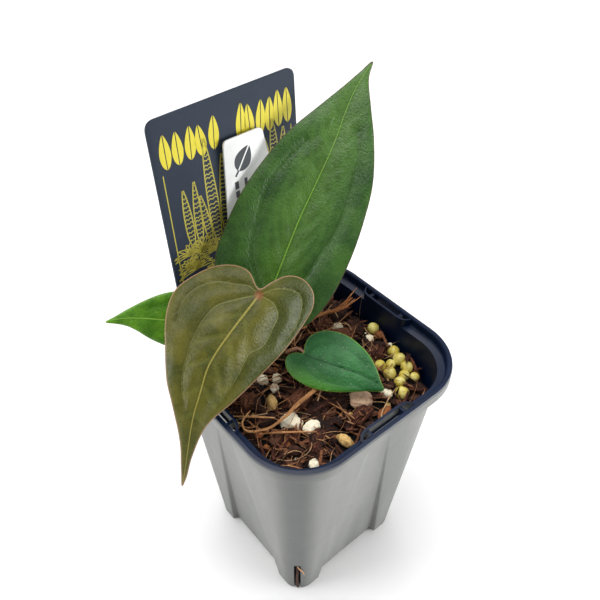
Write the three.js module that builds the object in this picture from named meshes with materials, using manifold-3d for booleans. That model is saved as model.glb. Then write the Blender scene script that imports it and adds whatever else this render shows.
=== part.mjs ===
// A young anthurium in a square nursery pot.
// Millimetres, +Z up. The pot's axis is X = Y = 0 and it stands on Z = 0.
// The pot's sides run along X and Y. The back of the plant, with its tag, is +Y.
import * as THREE from 'three';
import { mergeVertices } from 'three/addons/utils/BufferGeometryUtils.js';
import Module from 'manifold-3d';

const wasm = await Module();
wasm.setup();

// ---- driving sizes ----------------------------------------------------------
const POT_RIM_HALF = 35;           // half the width over the rim
const POT_HEIGHT = 87.3;           // foot to rim
const RIM_RADIUS = 18.1;           // plan radius of the rim's corners
const RIM_OVERHANG = 3.2;          // rim beyond the wall under it
const RIM_BAND = 4.0;              // height of the rim's outer band
const RIM_THICK = 1.6;
const WALL = 0.8;
const FLOOR = 2.0;
const TAPER = 8.3;                 // how far each side leans in from rim to foot
const FOOT_RADIUS = 6.2;           // corner lobes narrow to this
const PANEL_TOP_HALF = 3.6;        // the panel between two lobes, at its top
const LOBE_WIDTH = 10.1;           // and at the foot it leaves this much each side
const PANEL_DEPTH = 2.0;           // how far it is set back at the foot
const PANEL_DROP = 8.7;            // the panel begins this far below the rim
const SLOT_WIDTH = 2.2;            // drain slot in each foot's corner
const SLOT_HEIGHT = 20;
const HOLE_RADIUS = 2.2;
const CHANNEL_WIDTH = 11.8;        // under the floor, between two feet
const PAD_RADIUS = 8;              // flat middle pad of the underside
const GAP = 0.3;                   // between two pieces that touch
const MIX_DROP = 11.3;             // rim to the general level of the bark mix
const CROWN_X = -2;
const CROWN_Y = 13;
const STEM_RADIUS = 3.0;
const LEAF_THICK = 0.5;
const TAG_HALF = 23.9;             // half the picture tag's width
const TAG_TOP = 68.3;              // its top above the rim, along the card
const TAG_THICK = 0.8;
const LABEL_THICK = 0.6;
const TAG_SPACE = 1.4;             // from the label's back to the tag's front

// ---- sizes that follow ------------------------------------------------------
const WALL_TOP_HALF = POT_RIM_HALF - RIM_OVERHANG;
const WALL_TOP_RADIUS = RIM_RADIUS - RIM_OVERHANG;
const FOOT_HALF = WALL_TOP_HALF - TAPER;
const PANEL_FOOT_HALF = FOOT_HALF - LOBE_WIDTH;
const PANEL_TOP_Z = POT_HEIGHT - PANEL_DROP;
const MIX_TOP = POT_HEIGHT - MIX_DROP;
const SPREAD = WALL_TOP_HALF / 31.8;       // litter keeps its place in the pot's opening
const FACING = new THREE.Vector3(-0.478, -0.567, 0.671);   // where the leaves look

const group = new THREE.Group();
group.name = 'potted_anthurium';

function material(color, roughness, metalness = 0) {
  return new THREE.MeshStandardMaterial({ color, roughness, metalness });
}

function addPiece(name, geometry, color, roughness) {
  const mesh = new THREE.Mesh(geometry, material(color, roughness));
  mesh.name = name;
  group.add(mesh);
  return mesh;
}

// ---- closed bodies and cuts -------------------------------------------------
// Rings of equal length, stacked, with each end closed by a fan about its middle.
function skinRings(rings) {
  const count = rings[0].length;
  const positions = [];
  const index = [];
  const middle = (ring) => {
    const sum = new THREE.Vector3();
    ring.forEach((p) => sum.add(p));
    return sum.multiplyScalar(1 / ring.length);
  };
  rings.forEach((ring) => ring.forEach((p) => positions.push(p.x, p.y, p.z)));
  const low = middle(rings[0]);
  const high = middle(rings[rings.length - 1]);
  positions.push(low.x, low.y, low.z, high.x, high.y, high.z);
  const lowIndex = rings.length * count;
  const highIndex = lowIndex + 1;
  for (let k = 0; k < count; k += 1) {
    const next = (k + 1) % count;
    index.push(lowIndex, next, k);
    const top = (rings.length - 1) * count;
    index.push(highIndex, top + k, top + next);
    for (let level = 0; level < rings.length - 1; level += 1) {
      const a = level * count;
      const b = a + count;
      index.push(a + k, a + next, b + next);
      index.push(a + k, b + next, b + k);
    }
  }
  const geometry = new THREE.BufferGeometry();
  geometry.setAttribute('position', new THREE.Float32BufferAttribute(positions, 3));
  geometry.setIndex(index);
  return geometry;
}

function toSolid(geometry) {
  const clean = geometry.clone();
  clean.deleteAttribute('normal');
  clean.deleteAttribute('uv');
  const merged = mergeVertices(clean, 1e-4);
  return new wasm.Manifold(new wasm.Mesh({
    numProp: 3,
    vertProperties: new Float32Array(merged.attributes.position.array),
    triVerts: new Uint32Array(merged.index.array),
  }));
}

function toGeometry(solid) {
  const mesh = solid.getMesh();
  const geometry = new THREE.BufferGeometry();
  geometry.setAttribute('position', new THREE.Float32BufferAttribute(mesh.vertProperties, 3));
  geometry.setIndex(Array.from(mesh.triVerts));
  return geometry;
}

function box(sizeX, sizeY, sizeZ, x, y, z, turn = 0) {
  const geometry = new THREE.BoxGeometry(sizeX, sizeY, sizeZ);
  geometry.translate(x, y, z);
  geometry.rotateZ(turn);
  return geometry;
}

function disc(radius, height, x, y, z, segments = 24) {
  const geometry = new THREE.CylinderGeometry(radius, radius, height, segments);
  geometry.rotateX(Math.PI / 2);
  geometry.translate(x, y, z);
  return geometry;
}

// ---- pot --------------------------------------------------------------------
const mix = (a, b, t) => a + (b - a) * t;
const clamp01 = (t) => Math.min(1, Math.max(0, t));

// Outline of the pot's wall at height z, set in by the given amount.
function wallRing(z, inset, level = z) {
  const t = clamp01(z / (POT_HEIGHT - RIM_BAND));
  const half = mix(FOOT_HALF, WALL_TOP_HALF, t) - inset;
  const radius = mix(FOOT_RADIUS, WALL_TOP_RADIUS, t) - inset;
  const panel = mix(PANEL_FOOT_HALF, PANEL_TOP_HALF, clamp01(z / PANEL_TOP_Z));
  const depth = PANEL_DEPTH * (1 - clamp01(z / PANEL_TOP_Z));
  return roundedSquare(half, radius, level, panel, depth);
}

function roundedSquare(half, radius, z, panel = 5, depth = 0) {
  const flat = half - radius;
  const stepWidth = 0.55;
  const side = [
    [half, -flat],
    [half, -panel - stepWidth],
    [half - depth, -panel + stepWidth],
    [half - depth, 0],
    [half - depth, panel - stepWidth],
    [half, panel + stepWidth],
    [half, flat],
  ];
  const arcSteps = 7;
  for (let k = 1; k < arcSteps; k += 1) {
    const angle = (k / arcSteps) * Math.PI / 2;
    side.push([flat + radius * Math.cos(angle), flat + radius * Math.sin(angle)]);
  }
  const ring = [];
  for (let quarter = 0; quarter < 4; quarter += 1) {
    const c = Math.round(Math.cos(quarter * Math.PI / 2));
    const s = Math.round(Math.sin(quarter * Math.PI / 2));
    side.forEach(([x, y]) => ring.push(new THREE.Vector3(c * x - s * y, s * x + c * y, z)));
  }
  return ring;
}

function buildPot() {
  const ledgeZ = POT_HEIGHT - RIM_BAND;
  const outer = [];
  [0, 0.13, 0.28, 0.45, 0.62, 0.78, 0.9].forEach((f) => outer.push(wallRing(PANEL_TOP_Z * f / 0.9, 0)));
  outer.push(wallRing(ledgeZ, 0));
  outer.push(roundedSquare(POT_RIM_HALF - 0.3, RIM_RADIUS - 0.3, ledgeZ));
  outer.push(roundedSquare(POT_RIM_HALF, RIM_RADIUS, ledgeZ + 0.4));
  outer.push(roundedSquare(POT_RIM_HALF, RIM_RADIUS, POT_HEIGHT - 0.6));
  outer.push(roundedSquare(POT_RIM_HALF - 0.5, RIM_RADIUS - 0.5, POT_HEIGHT));
  let pot = toSolid(skinRings(outer));

  const inner = [];
  inner.push(wallRing(FLOOR, WALL));
  [0.13, 0.28, 0.45, 0.62, 0.78, 0.9].forEach((f) => inner.push(wallRing(PANEL_TOP_Z * f / 0.9, WALL)));
  inner.push(wallRing(ledgeZ + 0.6, WALL));
  const lipHalf = POT_RIM_HALF - RIM_THICK;
  const lipRadius = RIM_RADIUS - RIM_THICK;
  inner.push(roundedSquare(lipHalf - 0.3, lipRadius - 0.3, ledgeZ + 1.0));
  inner.push(roundedSquare(lipHalf, lipRadius, ledgeZ + 1.4));
  inner.push(roundedSquare(lipHalf + 0.1, lipRadius + 0.1, POT_HEIGHT + 2));
  pot = pot.subtract(toSolid(skinRings(inner)));

  // Halfway along each side the wall's top stands up and bows inwards, and
  // slots run between it and the rim's band, crossed by two webs.
  const bulge = WALL_TOP_HALF - 0.8;
  const slotLow = WALL_TOP_HALF + 0.1;
  const slotHigh = lipHalf - 0.1;
  const endT = 9.4;
  for (let quarter = 0; quarter < 4; quarter += 1) {
    const turn = quarter * Math.PI / 2;
    const slot = box(slotHigh - slotLow, 2 * (endT - 0.8), 4, (slotLow + slotHigh) / 2, 0, ledgeZ, turn);
    pot = pot.subtract(toSolid(slot));
    const shape = new THREE.Shape();
    const steps = 24;
    const line = (t) => bulge + (lipHalf - 0.8 - bulge) * (Math.abs(t) / endT) ** 10;
    const front = [];
    const back = [];
    for (let k = 0; k <= steps; k += 1) {
      const t = mix(-endT, endT, k / steps);
      front.push([line(t) - 0.45, t]);
      back.push([line(t) + 0.45, t]);
    }
    const tail = lipHalf + 0.4;
    const outline = [[tail, -endT - 0.9], ...front, [tail, endT + 0.9], [tail, endT], ...back.reverse(), [tail, -endT]];
    outline.forEach(([x, y], k) => (k ? shape.lineTo(x, y) : shape.moveTo(x, y)));
    const lip = new THREE.ExtrudeGeometry(shape, { depth: RIM_BAND - 0.5, bevelEnabled: false, steps: 1 });
    lip.translate(0, 0, ledgeZ + 0.1);
    lip.rotateZ(turn);
    pot = pot.add(toSolid(lip));
    [-6.2, 6.2].forEach((t) => {
      const web = box(lipHalf + 0.3 - bulge, 1.0, RIM_BAND - 0.9, (lipHalf + 0.3 + bulge) / 2, t,
        ledgeZ + 0.05 + (RIM_BAND - 0.9) / 2, turn);
      pot = pot.add(toSolid(web));
    });
  }

  // Underneath: four feet and a round middle pad, with channels between them
  // and a drain hole in each channel.
  for (let quarter = 0; quarter < 4; quarter += 1) {
    const turn = quarter * Math.PI / 2;
    const reach = FOOT_HALF + 3;
    const channel = box(reach - PAD_RADIUS, CHANNEL_WIDTH, 2, (reach + PAD_RADIUS) / 2, 0, 0, turn);
    pot = pot.subtract(toSolid(channel));
    const hole = disc(HOLE_RADIUS, 8, (FOOT_HALF + PAD_RADIUS) / 2, 0, 1, 16);
    hole.rotateZ(turn);
    pot = pot.subtract(toSolid(hole));
    const footReach = (FOOT_HALF - FOOT_RADIUS) * Math.SQRT2 + FOOT_RADIUS;
    const drain = box(5, SLOT_WIDTH, 2 * SLOT_HEIGHT, footReach + 0.6, 0, 0, turn + Math.PI / 4);
    pot = pot.subtract(toSolid(drain));
  }
  addPiece('pot', toGeometry(pot), 0x5a5d60, 0.42);
}

// ---- bark mix ---------------------------------------------------------------
const CROWN = new THREE.Vector3(CROWN_X * SPREAD, CROWN_Y * SPREAD, MIX_TOP);

// Height of the mix's surface: uneven, higher at the crown, low in one corner.
function mixSurface(x, y) {
  const waves = 0.7 * Math.sin(0.31 * x + 0.5) * Math.cos(0.27 * y - 0.4) + 0.4 * Math.sin(0.63 * x - 0.2 * y + 1);
  const corner = 4.5 * Math.exp(-((x - 27 * SPREAD) ** 2 + (y + 25 * SPREAD) ** 2) / 128);
  const mound = 0.8 * Math.exp(-((x - CROWN.x) ** 2 + (y - CROWN.y) ** 2) / 98);
  return MIX_TOP + waves - corner + mound;
}

// The triangles of the mix's top, once it is built.
const bed = [];

// Height of the mix's top as built, so that pieces can rest on it.
function bedHeight(x, y) {
  let height = -Infinity;
  bed.forEach(([a, b, c]) => {
    const area = (b.x - a.x) * (c.y - a.y) - (c.x - a.x) * (b.y - a.y);
    if (Math.abs(area) < 1e-9) return;
    const u = ((x - a.x) * (c.y - a.y) - (c.x - a.x) * (y - a.y)) / area;
    const v = ((b.x - a.x) * (y - a.y) - (x - a.x) * (b.y - a.y)) / area;
    if (u < -1e-6 || v < -1e-6 || u + v > 1 + 1e-6) return;
    height = Math.max(height, a.z + u * (b.z - a.z) + v * (c.z - a.z));
  });
  return height === -Infinity ? mixSurface(x, y) : height;
}

function buildMix(cuts) {
  const rings = [];
  const inset = WALL + GAP;
  rings.push(wallRing(FLOOR + GAP, inset));
  [0.13, 0.28, 0.45, 0.62, 0.78].forEach((f) => rings.push(wallRing(PANEL_TOP_Z * f / 0.9, inset)));
  const edge = wallRing(MIX_TOP - 3, inset);
  const onSurface = (scale) => edge.map((p) => {
    const x = p.x * scale;
    const y = p.y * scale;
    return new THREE.Vector3(x, y, mixSurface(x, y));
  });
  [0.985, 0.86, 0.72, 0.58, 0.44, 0.3, 0.16].forEach((scale) => rings.push(onSurface(scale)));
  const body = skinRings(rings);
  const corner = (k) => new THREE.Vector3().fromBufferAttribute(body.attributes.position, body.index.getX(k));
  for (let k = 0; k < body.index.count; k += 3) {
    const triangle = [corner(k), corner(k + 1), corner(k + 2)];
    if (triangle.every((p) => p.z > MIX_TOP - 8)) bed.push(triangle);
  }
  let solid = toSolid(body);
  cuts.forEach((cut) => {
    solid = solid.subtract(toSolid(cut));
  });
  addPiece('potting_mix', toGeometry(solid), 0x33241c, 0.95);
}

// ---- tubes ------------------------------------------------------------------
// A tube along a smooth line whose radius changes from end to end.
function tube(points, radii, around = 8, along = 12) {
  const path = new THREE.CatmullRomCurve3(points.map((p) => new THREE.Vector3(...p)), false, 'centripetal');
  const frames = path.computeFrenetFrames(along, false);
  const rings = [];
  for (let k = 0; k <= along; k += 1) {
    const f = k / along;
    const centre = path.getPointAt(f);
    const span = f * (radii.length - 1);
    const low = Math.min(Math.floor(span), radii.length - 2);
    const radius = mix(radii[low], radii[low + 1], span - low);
    const ring = [];
    for (let j = 0; j < around; j += 1) {
      const angle = (j / around) * 2 * Math.PI;
      const p = centre.clone();
      p.addScaledVector(frames.normals[k], radius * Math.cos(angle));
      p.addScaledVector(frames.binormals[k], radius * Math.sin(angle));
      ring.push(p);
    }
    rings.push(ring);
  }
  return skinRings(rings);
}

// ---- leaves -----------------------------------------------------------------
// A blade is laid out flat: x runs from the leaf stalk's joint to the tip and y
// across. It is then bowed along its length, and each half slopes away.
const fromRim = ([x, y, z]) => new THREE.Vector3(x * SPREAD, y * SPREAD, POT_HEIGHT + z);

class Blade {
  constructor(spec) {
    this.joint = fromRim(spec.joint);
    this.tip = fromRim(spec.tip);
    this.length = this.joint.distanceTo(this.tip);
    this.along = this.tip.clone().sub(this.joint).normalize();
    const face = (spec.facing ? new THREE.Vector3(...spec.facing) : FACING).clone();
    face.addScaledVector(this.along, -face.dot(this.along)).normalize();
    const side = this.along.clone().cross(face);
    const roll = (spec.roll || 0) * Math.PI / 180;
    this.up = face.multiplyScalar(Math.cos(roll)).addScaledVector(side, Math.sin(roll));
    this.across = this.along.clone().cross(this.up);
    this.spec = spec;
  }

  height(x, y) {
    const { bow, slopes, bend = 0, softness = 3 } = this.spec;
    const f = x / this.length;
    const arch = bow * (f > 0 ? 4 * f * (1 - f) : 2.4 * f);
    const ridge = bend * (f > 0 ? 4 * f * (1 - f) : 2 * f);
    const off = y - ridge;
    const slope = off > 0 ? slopes[0] : slopes[1];
    return arch - slope * (Math.sqrt(off * off + softness * softness) - softness);
  }

  point(x, y, lift = 0) {
    const p = this.joint.clone();
    p.addScaledVector(this.along, x);
    p.addScaledVector(this.across, y);
    p.addScaledVector(this.up, this.height(x, y) + lift);
    return p;
  }
}

function buildLeaf(name, spec, color, roughness) {
  const blade = new Blade(spec);
  const scale = spec.scale || 1;
  const outlinePoints = spec.outline.map(([x, y]) => new THREE.Vector3(x * scale, y * scale, 0));
  const outline = new THREE.CatmullRomCurve3(outlinePoints, true, 'centripetal');
  const count = spec.count || 34;
  const edge = outline.getPoints(count).slice(0, count);
  const centre = new THREE.Vector3(spec.hub || 2, 0, 0);
  const fractions = [0.34, 0.68, 1];
  const flatRing = (f) => edge.map((p) => centre.clone().lerp(p, f));
  const rings = [];
  const half = LEAF_THICK / 2;
  const lifted = (ring, lift) => ring.map((p) => blade.point(p.x, p.y, lift));
  fractions.forEach((f) => rings.push(lifted(flatRing(f), -half)));
  [...fractions].reverse().forEach((f) => rings.push(lifted(flatRing(f), half)));
  const geometry = skinRings(rings);
  // The two middle points are set on the blade's own surface.
  const position = geometry.attributes.position;
  const low = blade.point(centre.x, centre.y, -half);
  const high = blade.point(centre.x, centre.y, half);
  position.setXYZ(position.count - 2, low.x, low.y, low.z);
  position.setXYZ(position.count - 1, high.x, high.y, high.z);
  orient(geometry);
  addPiece(name, geometry, color, roughness);
  return blade;
}

// Turns a closed body's faces outwards if they point in.
function orient(geometry) {
  const p = geometry.attributes.position;
  const index = geometry.index.array;
  const a = new THREE.Vector3();
  const b = new THREE.Vector3();
  const c = new THREE.Vector3();
  let volume = 0;
  for (let k = 0; k < index.length; k += 3) {
    a.fromBufferAttribute(p, index[k]);
    b.fromBufferAttribute(p, index[k + 1]);
    c.fromBufferAttribute(p, index[k + 2]);
    volume += a.dot(b.clone().cross(c));
  }
  if (volume < 0) {
    for (let k = 0; k < index.length; k += 3) {
      const keep = index[k + 1];
      index[k + 1] = index[k + 2];
      index[k + 2] = keep;
    }
  }
  return geometry;
}

// Joint and tip stand from the level of the rim. Blade outlines start at the
// notch behind the joint and go round past the tip.
const BRONZE = {
  joint: [-13, 5, 25.7],
  tip: [-49.5, -7, -13.3],
  roll: -5,
  bow: 6,
  slopes: [0.25, 0.4],
  bend: 5,
  count: 40,
  outline: [[-1.6, 0.6], [-4.7, 4.6], [-5, 8], [-3.2, 12.8], [1.2, 17.4], [7, 20.8], [12.7, 20.6], [20.4, 17.7],
    [28.5, 14], [33.8, 10.3], [42.9, 4.7], [49.6, 2], [54.6, 0], [51.4, -0.2], [45.3, 0.5], [36, 0], [28, -4],
    [18.5, -8.6], [10, -12.2], [2.7, -14.3], [-2, -15], [-6, -13.4], [-8.2, -9.4], [-7.6, -5.4], [-4.6, -2]],
};
const TALL = {
  joint: [-6.3, 11.1, 15.1],
  tip: [42.4, 23.6, 67.7],
  roll: 0,
  bow: 4,
  slopes: [-0.15, -0.15],
  softness: 4,
  count: 38,
  outline: [[-1.5, 0.3], [-4.4, 4], [-5, 8.5], [-2, 12.6], [3.6, 15], [10, 16.3], [19.7, 16.6], [30, 15.8],
    [41, 13.8], [52.7, 9.1], [60, 5], [67.7, 1], [72.7, 0], [68.2, -2.1], [62.9, -4.4], [56.1, -7.8], [46, -12.6],
    [36.6, -15.7], [26, -17.8], [14, -18.5], [6, -17.8], [0, -15.2], [-3.4, -11.5], [-4.2, -7.6], [-3.2, -3.2]],
};
// The small leaf spreads low over the mix, so it is set from the mix's level.
const SMALL = {
  joint: [-2, -1.5, 12.0 - MIX_DROP],
  tip: [8.6, -23.2, 8.0 - MIX_DROP],
  roll: -12,
  bow: 2,
  slopes: [0.1, 0.1],
  softness: 2,
  count: 30,
  hub: 1,
  outline: [[-0.9, -0.2], [-2.6, 0.3], [-4.5, 1.5], [-5, 3.4], [-4, 5.4], [-1.4, 7.1], [3, 8], [7.5, 7.7],
    [12, 6.4], [16, 4.6], [20, 2.4], [24.4, 0], [22.6, -1.9], [20.3, -4.4], [16.6, -7.3], [12.3, -9.1], [8, -9.9],
    [4, -9.5], [0.6, -8], [-1.5, -5.4], [-1.6, -2.4]],
};
const LEFT = {
  joint: [-17.5, 17.1, 7.1],
  tip: [-46, 30, 17.5],
  roll: -5,
  bow: 2,
  slopes: [0.1, 0.1],
  softness: 2,
  count: 30,
  outline: [[-1, 0.5], [-3.2, 3], [-3.4, 6], [-1, 8.8], [4, 10.2], [9, 10.4], [16.7, 9.5], [21.8, 7.5], [27, 4.4],
    [30.9, 1.6], [33, 0], [30.2, -0.2], [27.7, -0.5], [24.8, -1.6], [21.3, -3.5], [17.7, -5], [11, -6.8],
    [4, -7.8], [-1, -7], [-3.2, -5], [-2.8, -2.2]],
};

function buildPlant() {
  const bronze = buildLeaf('leaf_bronze', BRONZE, 0x5c5a2c, 0.4);
  const tall = buildLeaf('leaf_tall', TALL, 0x2f7030, 0.4);
  const small = buildLeaf('leaf_small', SMALL, 0x1f6a34, 0.4);
  const left = buildLeaf('leaf_left', LEFT, 0x3f8a34, 0.4);

  const crownTop = CROWN.z + 6;
  const crownRadius = STEM_RADIUS - 1.1;
  const stemRings = [
    [STEM_RADIUS, CROWN.z - 6],
    [STEM_RADIUS + 0.1, CROWN.z],
    [STEM_RADIUS - 0.1, CROWN.z + 3],
    [STEM_RADIUS - 0.4, crownTop - 0.6],
    [crownRadius, crownTop],
  ];
  const stem = skinRings(stemRings.map(([radius, z]) => {
    const ring = [];
    for (let k = 0; k < 14; k += 1) {
      const angle = (k / 14) * 2 * Math.PI;
      ring.push(new THREE.Vector3(CROWN.x + radius * Math.cos(angle), CROWN.y + radius * Math.sin(angle), z));
    }
    return ring;
  }));
  addPiece('stem', stem, 0x6d7040, 0.7);

  // A leaf stalk ends just under its blade's joint.
  const stalk = (name, blade, start, middle, radii, color) => {
    const drop = LEAF_THICK / 2 + GAP + radii[radii.length - 1];
    const end = blade.point(0.6, 0, -drop);
    const way = middle.map((p) => fromRim(p).toArray());
    const geometry = tube([start, ...way, end.toArray()], radii, 7, 11);
    addPiece(name, orient(geometry), color, 0.55);
  };
  const base = crownTop + GAP;
  stalk('petiole_bronze', bronze, [CROWN.x - 0.474 * crownRadius, CROWN.y - 0.737 * crownRadius, base],
    [[-5.2, 11.2, 1.7], [-9.3, 9.8, 11.3]], [1.25, 1.1, 1.0, 0.95, 0.9, 1.05, 1.0], 0x7a5a3c);
  stalk('petiole_tall', tall, [CROWN.x + 0.474 * crownRadius, CROWN.y + 0.737 * crownRadius, base],
    [[-1.4, 14.6, 2.7]], [1.25, 1.15, 1.05, 1.0, 1.1, 1.0], 0x55702f);
  stalk('petiole_small', small, [CROWN.x + 1.7, CROWN.y - STEM_RADIUS - 0.7, CROWN.z + 3.4],
    [[0.2, 4.5, 8.4 - MIX_DROP]], [0.8, 0.65, 0.6, 0.6, 0.65], 0x96705a);
  stalk('petiole_left', left, [CROWN.x - STEM_RADIUS - 0.1, CROWN.y + STEM_RADIUS, CROWN.z + 3.4],
    [[-9.4, 18.6, 8.4 - MIX_DROP], [-14.4, 19.4, 3.1]], [0.95, 0.9, 0.85, 0.85, 0.85], 0x6a7a3a);

  // Papery sheaths left round the crown by older leaves.
  const sheath = (name, joint, tip, facing, width, color) => {
    const length = fromRim(joint).distanceTo(fromRim(tip));
    buildLeaf(name, {
      joint,
      tip,
      facing,
      bow: 0.8,
      slopes: [0.45, 0.45],
      softness: 1,
      count: 16,
      hub: length * 0.4,
      outline: [[0, 0], [0.6, width * 0.8], [length * 0.4, width], [length * 0.8, width * 0.45], [length, 0],
        [length * 0.8, -width * 0.45], [length * 0.4, -width], [0.6, -width * 0.8]],
    }, color, 0.8);
  };
  sheath('cataphyll_1', [2.9, 14.4, 2.2 - MIX_DROP], [5.4, 16.2, 17.0 - MIX_DROP], [0.8, 0.4, 0.1], 1.9, 0x8a6236);
  sheath('cataphyll_2', [-1.2, 18.2, 2.6 - MIX_DROP], [-0.4, 20.4, 14.0 - MIX_DROP], [0.05, 1, 0.05], 1.7, 0x9a7444);
}

// ---- tags -------------------------------------------------------------------
const TAG_LEAN = 4.1 * Math.PI / 180;
const TAG_YAW = 4 * Math.PI / 180;

// A card that stands in the mix and leans back. Its outline is drawn in its own
// plane: x along the pot's side, y up the card from the level of the rim.
function card(outline, thickness, frontY, corner) {
  const shape = new THREE.Shape();
  const n = outline.length;
  outline.forEach(([x, y], k) => {
    const before = new THREE.Vector2(...outline[(k + n - 1) % n]);
    const after = new THREE.Vector2(...outline[(k + 1) % n]);
    const here = new THREE.Vector2(x, y);
    const enter = here.clone().add(before.sub(here).setLength(corner));
    const leave = here.clone().add(after.sub(here).setLength(corner));
    if (k === 0) shape.moveTo(enter.x, enter.y);
    else shape.lineTo(enter.x, enter.y);
    shape.quadraticCurveTo(here.x, here.y, leave.x, leave.y);
  });
  shape.closePath();
  const geometry = new THREE.ExtrudeGeometry(shape, {
    depth: thickness,
    bevelEnabled: false,
    steps: 1,
    curveSegments: 4,
  });
  geometry.rotateX(Math.PI / 2);
  geometry.translate(0, thickness, 0);
  geometry.rotateX(-TAG_LEAN);
  geometry.rotateZ(TAG_YAW);
  geometry.translate(0, frontY, POT_HEIGHT);
  return geometry;
}

const TAG_X = -0.8;
const NECK_HALF = WALL_TOP_HALF * 0.54;     // the tag narrows to fit between the pot's corners
const TAG_FRONT = WALL_TOP_HALF - 4.3;
const TAG_OUTLINE = [
  [TAG_X - TAG_HALF, TAG_TOP],
  [TAG_X - TAG_HALF, 11],
  [TAG_X - NECK_HALF, -4],
  [TAG_X - NECK_HALF * 0.56, -26],
  [TAG_X + NECK_HALF * 0.56, -26],
  [TAG_X + NECK_HALF, -4],
  [TAG_X + TAG_HALF, 11],
  [TAG_X + TAG_HALF, TAG_TOP],
];
const LABEL_FRONT = TAG_FRONT - TAG_SPACE - LABEL_THICK;
const LABEL_OUTLINE = [
  [-4.4, 57],
  [-6.6, 22],
  [-5.6, 0],
  [2, -22],
  [9.6, 0],
  [11.6, 22],
  [11.2, 44],
  [8.8, 56.7],
];

// An outline moved outwards by a set amount, for the slot that a card stands in.
function grown(outline, amount) {
  const n = outline.length;
  return outline.map(([x, y], k) => {
    const here = new THREE.Vector2(x, y);
    const a = here.clone().sub(new THREE.Vector2(...outline[(k + n - 1) % n])).normalize();
    const b = new THREE.Vector2(...outline[(k + 1) % n]).sub(here).normalize();
    const outward = new THREE.Vector2(-(a.y + b.y), a.x + b.x).normalize();
    const spread = amount / Math.max(0.4, -outward.x * a.y + outward.y * a.x);
    return [x - outward.x * spread, y - outward.y * spread];
  });
}

function buildTags() {
  addPiece('picture_tag', card(TAG_OUTLINE, TAG_THICK, TAG_FRONT, 3), 0x2b2d38, 0.5);
  addPiece('stick_label', card(LABEL_OUTLINE, LABEL_THICK, LABEL_FRONT, 1.6), 0xeeeeec, 0.5);
}

// ---- pieces of the mix ------------------------------------------------------
// Repeatable variation between 0 and 1.
function vary(a, b) {
  const s = Math.sin(a * 127.1 + b * 311.7) * 43758.5453;
  return s - Math.floor(s);
}

// An uneven lump that rests on the mix: its sizes are half widths.
function lump(name, x, y, sizes, turn, seed, roughly, color, roughness, raise = 0) {
  const [a, b, c] = sizes.map((size) => size * SPREAD);
  const geometry = mergeVertices(stripped(new THREE.IcosahedronGeometry(1, 1)), 1e-3);
  const p = geometry.attributes.position;
  for (let k = 0; k < p.count; k += 1) {
    const swell = 1 + roughly * (vary(k + 1, seed) - 0.5) * 2;
    p.setXYZ(k, p.getX(k) * a * swell, p.getY(k) * b * swell, p.getZ(k) * c * swell);
  }
  geometry.rotateX((vary(seed, 3) - 0.5) * 0.4 * (roughly > 0.06 ? 1 : 0));
  geometry.rotateZ(turn * Math.PI / 180);
  geometry.translate(x * SPREAD, y * SPREAD, 0);
  let lift = -Infinity;
  probes(geometry).forEach((probe) => {
    lift = Math.max(lift, bedHeight(probe.x, probe.y) + GAP - probe.z);
  });
  geometry.translate(0, 0, lift + raise);
  addPiece(name, geometry, color, roughness);
}

// A body's corners, the middles of its edges and the middles of its faces.
function probes(geometry) {
  const found = [];
  const { position } = geometry.attributes;
  for (let k = 0; k < geometry.index.count; k += 3) {
    const [a, b, c] = [0, 1, 2].map((j) => new THREE.Vector3().fromBufferAttribute(position, geometry.index.getX(k + j)));
    found.push(a, a.clone().lerp(b, 0.5), a.clone().add(b).add(c).multiplyScalar(1 / 3));
  }
  return found;
}

function stripped(geometry) {
  geometry.deleteAttribute('normal');
  geometry.deleteAttribute('uv');
  return geometry;
}

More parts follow.
